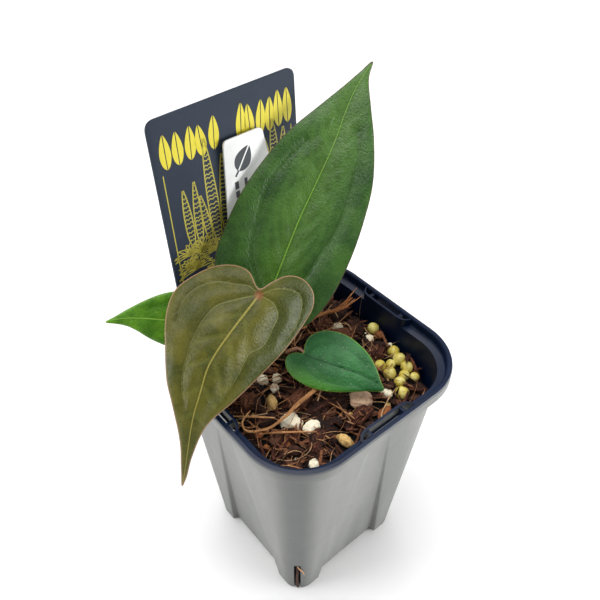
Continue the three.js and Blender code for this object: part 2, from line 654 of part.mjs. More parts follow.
function buildLitter() {
  const bark = [
    [25.4, 13.6, [4.4, 2.6, 1.9], 40],
    [17.2, 4.2, [5.2, 3.2, 2.0], -25],
    [24.2, 4.6, [3.0, 2.2, 1.5], 70],
    [22.6, -7.4, [3.2, 2.4, 1.6], 20],
    [-0.6, CROWN_Y - STEM_RADIUS - 5.6, [4.0, 2.4, 1.6], 100],
    [-8.6, -7.2, [4.6, 2.8, 1.6], 15],
    [-1.2, -13.2, [4.4, 2.6, 1.6], -40],
    [0.6, -22.6, [4.6, 2.4, 1.5], 10],
    [10.4, -14.6, [4.2, 2.6, 1.6], -60],
    [-20.6, 2.2, [3.4, 2.6, 1.5], 55],
    [-21.2, -6.2, [3.4, 2.2, 1.5], -20],
    [-14.6, -21.4, [4.0, 2.6, 1.4], 35],
  ];
  bark.forEach(([x, y, sizes, turn], k) => {
    lump(`bark_chunk_${k + 1}`, x, y, sizes, turn, k + 1, 0.16, k % 3 === 1 ? 0x4a2a1c : 0x5c3222, 0.95);
  });
  const perlite = [
    [20.2, 8.6, 1.6],
    [24.6, -1.6, 1.4],
    [13.4, -20.4, 1.6],
    [-12.2, 6.4, 1.6],
    [-8.4, 4.2, 1.5],
    [-11.4, 1.8, 1.4],
    [-15.8, -11.6, 2.5],
    [-12.4, -16.4, 1.9],
    [-19.6, -26.2, 1.5],
  ];
  perlite.forEach(([x, y, r], k) => {
    lump(`perlite_${k + 1}`, x, y, [r, r * 0.9, r * 0.8], k * 50, 20 + k, 0.1, 0xece6d6, 0.9);
  });
  const pumice = [
    [-15.6, -2.8, [1.5, 2.4, 1.4], -20, 0xc8a26a],
    [-8.2, -25.6, [1.4, 3.0, 1.4], 12, 0xb88a3c],
    [4.6, -18.2, [2.9, 2.0, 1.5], -35, 0xa8917a],
    [7.2, -26.0, [2.6, 1.7, 1.4], 20, 0x8a4a24],
  ];
  pumice.forEach(([x, y, sizes, turn, color], k) => {
    lump(`pumice_${k + 1}`, x, y, sizes, turn, 40 + k, 0.12, color, 0.9, 0.2);
  });
  const prills = [
    [28.4, 0.6, 1.8, 0],
    [27.4, -9.6, 1.6, 0],
    [26.3, -13.1, 1.7, 0.3],
    [23.1, -12.6, 1.3, 0],
    [26.2, -16.6, 1.6, 0.3],
    [23.4, -18.2, 1.4, 0],
    [19.4, -11.6, 1.5, 0],
    [20.0, -15.2, 1.7, 0],
    [20.4, -19.2, 1.5, 0],
    [17.6, -22.8, 2.0, 0],
    [26.0, -20.2, 1.3, 0],
  ];
  prills.forEach(([x, y, r, raise], k) => {
    lump(`fertiliser_prill_${k + 1}`, x, y, [r, r, r * 0.95], k * 40, 60 + k, 0.02, 0xa8a24a, 0.45, raise);
  });
  const over = MIX_TOP + 6;
  const fibres = [
    ['fibre_long', [[-28.0, -10.2, over + 0.8], [-23.6, -12.0, over + 0.8], [-17.9, -11.7, over + 0.8],
      [-12, -10.5, over + 0.8], [-5, -9.6, over + 0.6]], [0.3, 0.35, 0.45, 0.6, 0.7], 0x8f6234],
    ['fibre_thin_1', [[-29.2, -2.0, over + 0.4], [-25, -5.9, over + 0.6], [-20.4, -10.0, over + 0.4]],
      [0.3, 0.35, 0.3], 0xb07a44],
    ['fibre_thin_2', [[-26.2, -10.4, over - 1.4], [-20.8, -14.4, over - 1.2], [-13.6, -19.8, over - 1.6]],
      [0.3, 0.35, 0.3], 0xa06c3a],
    ['husk_strand', [[8.2, 12.6, over - 0.2], [15, 13.6, over], [21.4, 9.2, over + 3], [27, 7.6, over + 7.4]],
      [0.7, 1.0, 1.1, 0.5], 0x9c5a30],
  ];
  fibres.forEach(([name, points, radii, color]) => {
    const placed = points.map(([x, y, z]) => [x * SPREAD, y * SPREAD, z]);
    addPiece(name, orient(tube(placed, radii, 6, 10)), color, 0.9);
  });
}

// A dark root and a stray fibre in the drain slot of the front foot.
function buildSlotRoot() {
  const slope = POT_HEIGHT - RIM_BAND;
  const reachAt = (z) => {
    const half = mix(FOOT_HALF, WALL_TOP_HALF, z / slope);
    const radius = mix(FOOT_RADIUS, WALL_TOP_RADIUS, z / slope);
    return (half - radius) * Math.SQRT2 + radius;
  };
  // out: beyond the lobe's tip; across: sideways, towards the pot's +X side
  const place = (out, across, z) => {
    const reach = reachAt(z) + out;
    return [(across - reach) / Math.SQRT2, (-across - reach) / Math.SQRT2, z];
  };
  const top = SLOT_HEIGHT;
  const root = tube([place(-0.2, 0.1, 0.9), place(-0.25, -0.15, top - 13), place(-0.2, 0.1, top - 6),
    place(-0.3, 0, top - 1)], [0.45, 0.5, 0.5, 0.4], 6, 8);
  addPiece('slot_root', orient(root), 0x3a2016, 0.9);
  const fibre = tube([place(0.75, 0.2, top - 0.8), place(0.8, 1.1, top - 1.6), place(0.6, 2.0, top - 4.2),
    place(0.4, 2.3, top - 7)], [0.2, 0.22, 0.2, 0.16], 5, 8);
  addPiece('slot_fibre', orient(fibre), 0xa0724a, 0.9);
}

buildPot();
const stemHole = disc(STEM_RADIUS + 0.1 + GAP, 16, CROWN.x, CROWN.y, CROWN.z + 8 - 6 - GAP, 16);
const tagHole = card(grown(TAG_OUTLINE, 2 * GAP), TAG_THICK + 2 * GAP, TAG_FRONT - GAP, 3);
const labelHole = card(grown(LABEL_OUTLINE, 2 * GAP), LABEL_THICK + 2 * GAP, LABEL_FRONT - GAP, 1.6);
buildMix([stemHole, tagHole, labelHole]);
buildPlant();
buildTags();
buildLitter();
buildSlotRoot();

export default group;
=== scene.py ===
"""A young anthurium in a square nursery pot: its looks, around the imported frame. Sizes are in millimetres."""
import math
import random

import bmesh
import bpy
import numpy as np
from mathutils import Matrix, Vector, noise
from mathutils.geometry import delaunay_2d_cdt


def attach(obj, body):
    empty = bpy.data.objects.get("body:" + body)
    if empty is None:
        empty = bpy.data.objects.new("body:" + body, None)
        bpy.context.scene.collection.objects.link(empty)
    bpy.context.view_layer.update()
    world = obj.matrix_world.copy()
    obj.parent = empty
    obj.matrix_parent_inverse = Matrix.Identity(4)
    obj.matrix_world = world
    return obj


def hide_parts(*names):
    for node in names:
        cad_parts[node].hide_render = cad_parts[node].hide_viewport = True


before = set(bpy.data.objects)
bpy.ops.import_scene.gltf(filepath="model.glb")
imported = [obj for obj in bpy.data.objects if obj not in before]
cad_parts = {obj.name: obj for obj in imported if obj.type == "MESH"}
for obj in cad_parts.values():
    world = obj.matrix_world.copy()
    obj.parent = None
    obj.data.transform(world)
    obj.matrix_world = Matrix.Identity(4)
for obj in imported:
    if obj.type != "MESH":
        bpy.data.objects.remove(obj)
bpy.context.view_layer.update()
MM = 0.001
rng = random.Random(7)

# ---- sizes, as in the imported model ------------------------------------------
RIM_HALF = 35.0
HEIGHT = 87.3
RIM_RADIUS = 18.1
RIM_BAND = 4.0
RIM_THICK = 1.6
WALL = 0.8
FLOOR = 2.0
TOP_HALF = 31.8
TOP_RADIUS = 14.9
FOOT_HALF = 23.5
FOOT_RADIUS = 6.2
PANEL_FOOT_HALF = 13.4
PANEL_TOP_HALF = 3.6
PANEL_DEPTH = 2.0
PANEL_TOP_Z = 78.6
LEDGE_Z = HEIGHT - RIM_BAND
LIP_HALF = RIM_HALF - RIM_THICK
LIP_SPAN = 9.4
LIP_THICK = 0.7
WEB_AT = 6.2
MIX_TOP = 76.0
CROWN_TOP = MIX_TOP + 6
CROWN = (-2.0, 13.0)
STEM_RADIUS = 3.0
LEAF_THICK = 0.5
TAG_THICK = 0.8
LABEL_THICK = 0.6
TAG_FRONT = TOP_HALF - 4.3
LABEL_FRONT = TAG_FRONT - 1.4 - LABEL_THICK
INK_RISE = 0.05
INK_SINK = 0.02
TAG_LEAN = math.radians(4.1)
TAG_YAW = math.radians(4.0)
TAG_X = -0.8
TAG_HALF = 23.9
TAG_TOP = 68.3
NECK_HALF = TOP_HALF * 0.54
CARDS_NEAR = 25.2
CARDS_FAR = 30.5
CARDS_HALF = 20.0
SLOT_HEIGHT = 20.0
FAR = 99.0


# ---- small helpers ----------------------------------------------------------
def rgb(r, g, b):
    """An sRGB colour of 0 to 255 as linear RGBA."""
    def linear(v):
        v /= 255
        return v / 12.92 if v <= 0.04045 else ((v + 0.055) / 1.055) ** 2.4
    return (linear(r), linear(g), linear(b), 1.0)


def catmull(points, closed, per_span):
    """Centripetal Catmull-Rom curve through the points."""
    pts = np.asarray(points, float)
    n = len(pts)
    out = []
    for i in range(n if closed else n - 1):
        p1, p2 = pts[i], pts[(i + 1) % n]
        p0 = pts[i - 1] if closed or i > 0 else 2 * p1 - p2
        p3 = pts[(i + 2) % n] if closed or i + 2 < n else 2 * p2 - p1
        d0, d1, d2 = (max(np.linalg.norm(b - a), 1e-8) ** 0.5 for a, b in ((p0, p1), (p1, p2), (p2, p3)))
        t1 = ((p1 - p0) / d0 - (p2 - p0) / (d0 + d1) + (p2 - p1) / d1) * d1
        t2 = ((p2 - p1) / d1 - (p3 - p1) / (d1 + d2) + (p3 - p2) / d2) * d1
        for k in range(per_span):
            t = k / per_span
            out.append(p1 + t1 * t + (3 * (p2 - p1) - 2 * t1 - t2) * t * t + (2 * (p1 - p2) + t1 + t2) * t ** 3)
    if not closed:
        out.append(pts[-1])
    return np.array(out)


def resample(line, step):
    """The same line with points a set distance apart."""
    length = np.r_[0, np.cumsum(np.linalg.norm(np.diff(line, axis=0), axis=1))]
    count = max(2, int(round(length[-1] / step)) + 1)
    at = np.linspace(0, length[-1], count)
    return np.stack([np.interp(at, length, line[:, k]) for k in range(line.shape[1])], axis=1)


def line_distance(points, line, closed=False):
    """Distance from each point to a line, and how far along the line (0 to 1) the nearest place is."""
    a = line
    b = np.roll(line, -1, axis=0)
    if not closed:
        a, b = a[:-1], b[:-1]
    ab = b - a
    ap = points[:, None, :] - a[None]
    t = np.clip((ap * ab[None]).sum(-1) / np.maximum((ab * ab).sum(-1), 1e-12), 0, 1)
    d = np.linalg.norm(ap - t[..., None] * ab[None], axis=-1)
    k = d.argmin(1)
    rows = np.arange(len(points))
    return d[rows, k], (k + t[rows, k]) / len(a)


def inside(points, loop):
    """Whether each flat point is inside the closed loop."""
    x, y = points[:, 0][:, None], points[:, 1][:, None]
    x1, y1 = loop[:, 0][None], loop[:, 1][None]
    x2, y2 = np.roll(loop[:, 0], -1)[None], np.roll(loop[:, 1], -1)[None]
    crosses = (y1 > y) != (y2 > y)
    at = x1 + (y - y1) / np.where(y2 == y1, 1e-12, y2 - y1) * (x2 - x1)
    return (crosses & (x < at)).sum(1) % 2 == 1


def columns(*parts):
    """Points from an array or a number for each coordinate."""
    return np.stack(np.broadcast_arrays(*parts), -1).astype(float)


def circle(count):
    """Angles evenly spaced around a circle."""
    return np.arange(count) / count * 2 * math.pi


def blend(a, b, t):
    return a + (b - a) * t


def clamp(t):
    return min(1.0, max(0.0, t))


def fuzz(points, scale=1.0, seed=0.0, octaves=2):
    """A smooth random value, about -1 to 1, at each point."""
    shift = Vector((seed * 7.31 + 0.5, seed * 3.17, seed * 1.93))
    return np.array([noise.fractal(Vector(p) * scale + shift, 1.0, 2.0, octaves) for p in points])


class Shape:
    """Points, faces and per-point values of a piece."""

    def __init__(self, points=(), faces=(), **values):
        self.points = np.asarray(points, float).reshape(-1, 3)
        self.faces = [tuple(f) for f in faces]
        self.values = {k: np.asarray(v, float) for k, v in values.items()}


def gather(shapes):
    """Many shapes as one."""
    faces, start = [], 0
    for s in shapes:
        faces += [tuple(i + start for i in f) for f in s.faces]
        start += len(s.points)
    values = {k: np.concatenate([s.values[k] for s in shapes]) for k in shapes[0].values}
    return Shape(np.vstack([s.points for s in shapes]), faces, **values)


def to_object(name, points, faces, face_outwards=True):
    """An object in the scene with a mesh of those points and faces."""
    mesh = bpy.data.meshes.new(name)
    mesh.from_pydata(points.tolist(), [], faces)
    if face_outwards:
        bm = bmesh.new()
        bm.from_mesh(mesh)
        bmesh.ops.recalc_face_normals(bm, faces=bm.faces)
        bm.to_mesh(mesh)
        bm.free()
    obj = bpy.data.objects.new(name, mesh)
    bpy.context.scene.collection.objects.link(obj)
    return obj


def make(name, shape, materials, stands_for=(), sharp=None, face_outwards=True):
    """A piece in the frame from a shape in millimetres."""
    obj = to_object(name, shape.points * MM, shape.faces, face_outwards)
    mesh = obj.data
    for key, value in shape.values.items():
        vector = value.ndim == 2
        attribute = mesh.attributes.new(key, "FLOAT_VECTOR" if vector else "FLOAT", "POINT")
        attribute.data.foreach_set("vector" if vector else "value", value.astype(np.float32).ravel())
    for m in materials if isinstance(materials, list) else [materials]:
        mesh.materials.append(m)
    mesh.shade_smooth()
    if sharp is not None:
        mesh.set_sharp_from_angle(angle=math.radians(sharp))
    mesh.update()
    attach(obj, "root")
    if stands_for:
        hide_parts(*stands_for)
    return obj


def ring_faces(levels, n):
    """Quads that join rings of n points, each ring to the next."""
    return [(a + k, a + (k + 1) % n, a + n + (k + 1) % n, a + n + k)
            for a in range(0, (levels - 1) * n, n) for k in range(n)]


def skin(rings, **values):
    """Closed body from rings of equal length, with a fan at each end."""
    rings = [np.asarray(r, float) for r in rings]
    n = len(rings[0])
    points = np.vstack(rings + [rings[0].mean(0)[None], rings[-1].mean(0)[None]])
    low, high, top = len(rings) * n, len(rings) * n + 1, (len(rings) - 1) * n
    faces = ring_faces(len(rings), n)
    faces += [(low, (k + 1) % n, k) for k in range(n)]
    faces += [(high, top + k, top + (k + 1) % n) for k in range(n)]
    return Shape(points, faces, **values)


def tube(points, radii, around=10, step=0.6, seed=0.0, rough=0.0, flat=1.0, tone=0.5):
    """A closed tube along a smooth line whose radius changes from end to end."""
    line = resample(catmull(points, False, 8), step)
    n = len(line)
    tangent = np.gradient(line, axis=0)
    tangent /= np.linalg.norm(tangent, axis=1)[:, None]
    side = np.cross(tangent[0], [0, 0, 1.0] if abs(tangent[0][2]) < 0.9 else [1.0, 0, 0])
    radius = np.interp(np.linspace(0, 1, n), np.linspace(0, 1, len(radii)), radii)
    c, s = np.cos(circle(around)), np.sin(circle(around))
    rings, grain = [], []
    for k in range(n):
        side = side - side.dot(tangent[k]) * tangent[k]
        side /= np.linalg.norm(side)
        other = np.cross(tangent[k], side)
        r = np.full(around, radius[k])
        if rough:
            r = r * (1 + rough * fuzz(columns(c * 1.6, s * 1.6, k * step * 0.25), 1, seed))
        rings.append(line[k] + (r * c)[:, None] * side + flat * (r * s)[:, None] * other)
        grain.append(columns(k * step, r * c, r * s))
    ends = [np.array([[0, 0, 0]]), np.array([[n * step, 0, 0]])]
    return skin(rings, grain=np.vstack(grain + ends) + seed * 13.0, tone=np.full(n * around + 2, tone))


# ---- materials --------------------------------------------------------------
def palette(*colours):
    return [rgb(*c) for c in colours]


class Paint:
    """A node material being put together. Inputs are values or sockets."""

    def __init__(self, name):
        self.material = bpy.data.materials.new(name)
        self.material.use_nodes = True
        self.tree = self.material.node_tree
        self.tree.nodes.clear()
        out = self.tree.nodes.new("ShaderNodeOutputMaterial")
        self.bsdf = self.tree.nodes.new("ShaderNodeBsdfPrincipled")
        self.tree.links.new(self.bsdf.outputs[0], out.inputs[0])

    def feed(self, socket, value):
        if isinstance(value, bpy.types.NodeSocket):
            self.tree.links.new(value, socket)
        else:
            socket.default_value = value

    def node(self, kind, inputs, output=0, **settings):
        n = self.tree.nodes.new("ShaderNode" + kind)
        for key, value in settings.items():
            setattr(n, key, value)
        for key, value in inputs.items():
            self.feed(n.inputs[key], value)
        return n.outputs[output]

    def place(self):
        return self.node("TexCoord", {}, "Object")

    def part(self, vector, axis):
        return self.node("SeparateXYZ", {"Vector": vector}, axis)

    def value(self, name, vector=False):
        return self.node("Attribute", {}, "Vector" if vector else "Fac", attribute_name=name)

    def stretched(self, vector, *scale):
        return self.node("Mapping", {"Vector": vector, "Scale": scale})

    def noise(self, vector, scale, detail=3.0, rough=0.55):
        return self.node("TexNoise", {"Vector": vector, "Scale": scale, "Detail": detail, "Roughness": rough})

    def cells(self, vector, scale, feature="F1"):
        return self.node("TexVoronoi", {"Vector": vector, "Scale": scale}, feature=feature)

    def step(self, value, low, high, start=0.0, end=1.0):
        ends = {"Value": value, "From Min": low, "From Max": high, "To Min": start, "To Max": end}
        return self.node("MapRange", ends, interpolation_type="SMOOTHSTEP")

    def times(self, a, b):
        return self.node("Math", {0: a, 1: b}, operation="MULTIPLY")

    def plus(self, a, b):
        return self.node("Math", {0: a, 1: b}, operation="ADD")

    def vector(self, operation, a, b=(0.0, 0.0, 0.0), output=0):
        return self.node("VectorMath", {0: a, 1: b}, output, operation=operation)

    def mix(self, a, b, factor, mode="MIX"):
        return self.node("Mix", {0: factor, 6: a, 7: b}, 2, data_type="RGBA", blend_type=mode)

    def over(self, color, other, *amounts):
        """The colour with another laid over it, as much as all the amounts multiplied."""
        factor = amounts[0]
        for amount in amounts[1:]:
            factor = self.times(factor, amount)
        return self.mix(color, other, factor)

    def bump(self, height, distance, strength=1.0):
        return self.node("Bump", {"Height": height, "Distance": distance, "Strength": strength})

    def finish(self, color, roughness, normal=None, shine=0.5):
        self.feed(self.bsdf.inputs["Base Color"], color)
        self.feed(self.bsdf.inputs["Roughness"], roughness)
        self.bsdf.inputs["Specular IOR Level"].default_value = shine
        if normal is not None:
            self.feed(self.bsdf.inputs["Normal"], normal)
        return self.material


def leaf_material(name, colours, gloss, shine=0.32, grain=1.0, margin_width=0.4, vein_strength=0.8,
                  mid_strength=1.0, mid_glow=0.0, reach=4.0, fleck=0.0, joint=None, tint=None, tint_span=None):
    """A leaf. Tint is a colour that comes in across the blade, over the span of y given; on the bronze leaf it is
    painted shade, darker and greener, over the half of the blade with negative y.
    """
    deep, light, vein, midrib, margin, under = palette(*colours)
    p = Paint(name)
    flat = p.value("flat", True)
    vein_at, rib_at, mid_at, edge_at, back = (p.value(k) for k in ("vein", "rib", "mid", "edge", "under"))
    fine = p.noise(flat, 1.3, 5, 0.65)
    net = p.cells(flat, 0.85, "DISTANCE_TO_EDGE")
    web = p.cells(flat, 2.3, "DISTANCE_TO_EDGE")
    color = p.mix(deep, light, p.step(p.noise(flat, 0.11, 3, 0.6), 0.34, 0.66))
    color = p.over(color, light, p.step(fine, 0.45, 0.75), 0.45 * grain)
    color = p.over(color, deep, p.step(p.noise(flat, 5.0, 4, 0.7), 0.5, 0.3), 0.4 * grain)
    if tint:
        # On the bronze leaf this tint is painted shade over one half of the blade.
        color = p.over(color, rgb(*tint), p.step(p.part(flat, 1), *tint_span), 0.75)
    color = p.over(color, vein, p.step(net, 0.07, 0.0), 0.16)
    color = p.over(color, vein, p.step(web, 0.08, 0.0), 0.08)
    color = p.over(color, midrib, p.step(p.value("mid_mm"), reach, 0.3), mid_glow)
    color = p.over(color, vein, p.step(rib_at, 1.1, 0.15), 0.2)
    color = p.over(color, deep, p.step(vein_at, 4.5, 1.3), 0.3)
    color = p.over(color, vein, p.step(vein_at, 1.0, 0.25), vein_strength)
    color = p.over(color, deep, p.step(mid_at, 3.4, 1.2), 0.3)
    color = p.over(color, midrib, p.step(mid_at, 1.0, 0.45), mid_strength)
    if joint:
        color = p.over(color, rgb(*joint), p.step(p.vector("LENGTH", flat, output=1), 1.8, 0.5), 0.7)
    color = p.over(color, margin, p.step(edge_at, margin_width, margin_width * 0.3), 0.85)
    if fleck:
        spots, choose = p.cells(flat, 1.1), p.noise(flat, 0.28, 2)
        color = p.over(color, rgb(196, 212, 190), p.step(spots, 0.16, 0.05), p.step(choose, 0.48, 0.6), fleck)
    color = p.mix(color, p.over(under, vein, p.step(vein_at, 1.6, 0.2), 0.5), back)
    height = p.plus(p.times(p.step(net, 0.0, 0.3), 0.6), p.times(fine, 0.8))
    height = p.plus(height, p.times(p.step(web, 0.0, 0.25), 0.3))
    dull = p.plus(p.plus(p.times(fine, 0.2), gloss), p.times(back, 0.2))
    return p.finish(color, dull, p.bump(height, 0.00012, 0.5 + 0.4 * grain), shine)


def bark_material(name, dark, mid, bright, streak=1.0, rough=0.85):
    """Bark or fibre, streaked along its grain."""
    p = Paint(name)
    grain, tone = p.value("grain", True), p.value("tone")
    strands = p.noise(p.stretched(grain, 0.35, 2.4, 2.4), 1.5, 6, 0.7)
    coarse = p.noise(p.stretched(grain, 0.22, 1.5, 1.5), 1.0, 3, 0.6)
    strands = p.plus(p.times(strands, 0.6), p.times(coarse, 0.4))
    crack = p.cells(p.stretched(grain, 0.25, 1.5, 1.5), 1.6, "DISTANCE_TO_EDGE")
    color = p.mix(dark, mid, p.step(strands, 0.38, 0.54))
    color = p.over(color, bright, p.step(strands, 0.52, 0.66), p.step(p.noise(grain, 0.5, 3), 0.3, 0.65))
    color = p.over(color, dark, p.step(crack, 0.10, 0.0), 0.8 * streak)
    color = p.mix(color, dark, p.step(tone, 0.45, 0.0, 0.0, 0.75))
    color = p.mix(color, bright, p.step(tone, 0.6, 1.0, 0.0, 0.55))
    height = p.plus(strands, p.times(p.step(crack, 0.0, 0.2), 0.6))
    return p.finish(color, p.step(strands, 0.2, 0.8, rough + 0.08, rough - 0.12), p.bump(height, 0.0005), 0.35)


def grain_material(name, light, shade, stain, pit_scale, stain_amount):
    """A pitted mineral grain."""
    p = Paint(name)
    at = p.place()
    pits = p.cells(at, pit_scale)
    fine = p.noise(at, pit_scale * 1.8, 4, 0.7)
    color = p.mix(light, shade, p.step(fine, 0.42, 0.72))
    color = p.over(color, stain, p.step(p.noise(at, pit_scale * 0.25, 3), 0.48, 0.68), stain_amount)
    color = p.over(color, stain, p.step(pits, 0.3, 0.08), 0.5)
    height = p.plus(p.times(pits, 0.8), p.times(fine, 0.5))
    return p.finish(color, p.step(fine, 0.3, 0.7, 0.82, 0.95), p.bump(height, 0.0003, 0.8), 0.35)


def pot_material(name, base, worn, roughness, mottling, shine, shade=None, rim=None):
    """Moulded plastic, with painted shade in upright bands, in fine rings along its moulding lines and down its four
    corners, and a rim of another colour, if they are given.
    """
    p = Paint(name)
    at = p.place()
    dust = p.noise(at, 170.0, 5, 0.65)
    columns_at = p.noise(p.stretched(at, 200.0, 200.0, 6.0), 1.0)
    color = p.mix(base, worn, p.step(columns_at, 0.35, 0.7, 0.0, mottling))
    if shade:
        # Painted shade: soft upright bands of the shade colour, and fine rings of it along the moulding lines.
        bands = p.noise(p.stretched(at, 46.0, 46.0, 3.0), 1.0, 2)
        color = p.mix(color, shade, p.step(bands, 0.42, 0.58, 0.0, 0.8))
        rings = p.noise(p.stretched(at, 2.0, 2.0, 900.0), 1.0, 2)
        color = p.mix(color, shade, p.step(rings, 0.56, 0.66, 0.0, 0.4))
    color = p.over(color, worn, p.step(dust, 0.55, 0.8), mottling)
    scuff = p.cells(p.stretched(at, 500.0, 500.0, 160.0), 1.0)
    color = p.over(color, worn, p.step(scuff, 0.09, 0.03), 0.4)
    if shade:
        # Painted shade down the four corners, where |x| equals |y|: the shade colour, then the colour darkened
        # further.
        lean = p.vector("DOT_PRODUCT", p.vector("ABSOLUTE", at), (0.7071, -0.7071, 0.0), 1)
        corner = p.step(p.node("Math", {0: lean}, operation="ABSOLUTE"), 0.0075, 0.001)
        color = p.over(color, shade, corner, 0.75)
        color = p.over(color, p.mix(color, (0.62, 0.64, 0.65, 1), 1.0, "MULTIPLY"), corner, 0.8)
    if rim:
        color = p.mix(color, rim, p.step(p.part(at, 2), (HEIGHT - 1.0) * MM, (HEIGHT - 0.6) * MM))
    rows = p.noise(p.stretched(at, 60.0, 60.0, 2600.0), 1.0, 2)
    height = p.plus(p.times(rows, 0.35), p.times(p.noise(at, 5200.0, 3, 0.6), 0.5))
    return p.finish(color, p.plus(p.times(dust, 0.14), roughness), p.bump(height, 0.00005, 0.6), shine)


def card_material(name, base, edge, roughness, scratch, shine=0.5):
    """Printed card or plastic with fine scratches."""
    p = Paint(name)
    at = p.place()
    grain = p.noise(at, 3000.0, 3, 0.6)
    smear = p.noise(at, 90.0, 4, 0.6)
    color = p.over(base, edge, p.step(smear, 0.45, 0.75), scratch)
    color = p.over(color, edge, p.step(grain, 0.68, 0.82), scratch * 1.4)
    height = p.plus(grain, p.times(p.noise(p.stretched(at, 2600.0, 2600.0, 90.0), 1.0, 2), 0.6))
    return p.finish(color, p.plus(p.times(smear, 0.12), roughness), p.bump(height, 0.00002, 0.6), shine)


def plant_material(name, low, high, blush, z_low, z_high, rough=0.5):
    """A stalk: one colour at its foot, another at its top, with fine lengthwise streaks."""
    p = Paint(name)
    at = p.place()
    streak = p.noise(p.stretched(p.value("grain", True), 0.3, 3.0, 3.0), 2.2, 4)
    fine = p.noise(at, 2500.0, 3)
    color = p.mix(low, high, p.step(p.part(at, 2), z_low * MM, z_high * MM))
    color = p.mix(color, blush, p.step(streak, 0.42, 0.7, 0.0, 0.7))
    color = p.mix(color, low, p.step(fine, 0.6, 0.75, 0.0, 0.4))
    return p.finish(color, p.plus(p.times(fine, 0.2), rough - 0.1), p.bump(streak, 0.0001, 0.6), 0.45)


def prill_material(name, pale, bright, dark):
    """The smooth coating of a fertiliser prill."""
    p = Paint(name)
    at = p.place()
    fine = p.noise(at, 1500.0, 4, 0.6)
    color = p.mix(pale, bright, p.step(p.noise(at, 260.0, 3), 0.38, 0.62))
    color = p.mix(color, dark, p.step(fine, 0.52, 0.72, 0.0, 0.7))
    return p.finish(color, p.step(fine, 0.3, 0.7, 0.3, 0.5), p.bump(fine, 0.00008, 0.5))


M = {
    # The outside: the pot's dark plastic painted grey, a painted reflection of the bright surroundings.
    "pot_outside_painted_reflection": pot_material("pot_outside_painted_reflection", *palette((116, 117, 114), (130, 131, 127)), 0.36, 0.5, 0.5,
                                *palette((98, 100, 98), (74, 78, 82))),
    "pot_inside": pot_material("pot_inside", *palette((3, 19, 46), (8, 32, 64)), 0.3, 0.4, 0.28),
    # The bronze leaf's tint is painted shade over the half of the blade with negative y.
    "bronze": leaf_material(
        "leaf_bronze", ((58, 62, 14), (86, 83, 23), (116, 118, 56), (144, 134, 64), (150, 118, 92), (92, 68, 50)),
        0.3, 0.26, grain=0.25, vein_strength=0.65, mid_strength=0.85, joint=(122, 66, 44), tint=(44, 56, 12),
        tint_span=(-1.5, -8.0)),
    "tall": leaf_material(
        "leaf_tall", ((32, 66, 20), (56, 92, 32), (84, 126, 54), (124, 168, 58), (74, 56, 34), (96, 122, 70)),
        0.24, 0.36, grain=0.6, margin_width=0.3, vein_strength=0.4, mid_strength=0.7, mid_glow=0.14, reach=9.0),
    "small": leaf_material(
        "leaf_small", ((22, 82, 34), (50, 112, 58), (32, 88, 42), (20, 66, 32), (128, 168, 64), (106, 140, 92)),
        0.24, 0.34, margin_width=0.22, vein_strength=0.5, fleck=0.85, tint=(74, 134, 30), tint_span=(2.0, 7.5)),
    "left": leaf_material(
        "leaf_left", ((58, 110, 12), (100, 154, 30), (112, 156, 56), (134, 176, 66), (104, 134, 48), (100, 140, 68)),
        0.27, grain=0.6, margin_width=0.25, vein_strength=0.3),
}
for build, kinds in (
        (bark_material, (
            ("bark", "bark", ((26, 14, 12), (74, 43, 33), (150, 98, 70))),
            ("bark_red", "bark_red", ((36, 16, 12), (106, 56, 38), (192, 128, 86))),
            ("fibre", "fibre", ((138, 86, 52), (206, 146, 96), (246, 206, 156)), 0.2, 0.65),
            ("husk", "husk", ((150, 80, 36), (216, 140, 84), (248, 194, 134)), 0.3, 0.65),
            ("twig", "twig", ((132, 80, 42), (196, 134, 80), (238, 184, 124)), 0.5, 0.7),
            ("crumb", "crumb", ((14, 10, 8), (36, 23, 17), (80, 52, 36))),
            ("bed", "mix_bed", ((6, 5, 4), (18, 12, 9), (42, 28, 20))),
            ("sheath", "dry_sheath", ((110, 72, 38), (158, 112, 66), (198, 156, 104)), 0.5, 0.75))),
        (grain_material, (
            ("perlite", "perlite", ((255, 248, 224), (255, 240, 200), (228, 200, 152)), 700.0, 0.25),
            ("pumice", "pumice", ((222, 186, 120), (190, 146, 80), (122, 80, 40)), 800.0, 0.7),
            ("clay", "clay", ((150, 92, 52), (112, 64, 34), (64, 36, 20)), 800.0, 0.7),
            ("stone", "speckled_stone", ((252, 214, 180), (204, 160, 128), (104, 68, 50)), 1400.0, 0.4))),
        (prill_material, (
            ("prill", "prill_coating", ((216, 196, 84), (240, 228, 136), (156, 130, 48))),)),
        (card_material, (
            ("tag", "tag_card", ((38, 46, 58), (54, 62, 76)), 0.55, 0.3, 0.14),
            ("ink", "tag_ink", ((196, 182, 12), (206, 194, 50)), 0.45, 0.4),
            ("ink_thin", "tag_ink_thin", ((164, 154, 48), (182, 172, 80)), 0.45, 0.4),
            ("label", "label_plastic", ((210, 211, 210), (194, 195, 194)), 0.38, 0.4),
            ("label_ink", "label_ink", ((34, 40, 46), (54, 60, 66)), 0.5, 0.4))),
        (plant_material, (
            ("stalk_bronze", "stalk_bronze", ((96, 98, 46), (128, 92, 62), (112, 70, 46)), 82, 112),
            ("stalk_green", "stalk_green", ((84, 112, 44), (96, 132, 52), (110, 96, 52)), 82, 100),
            ("stalk_pink", "stalk_pink", ((160, 116, 88), (190, 142, 116), (138, 92, 66)), 78, 88),
            ("stem", "stem_skin", ((96, 84, 48), (112, 116, 58), (84, 60, 38)), 72, 82, 0.7)))):
    for key, name, colours, *settings in kinds:
        M[key] = build(name, *palette(*colours), *settings)


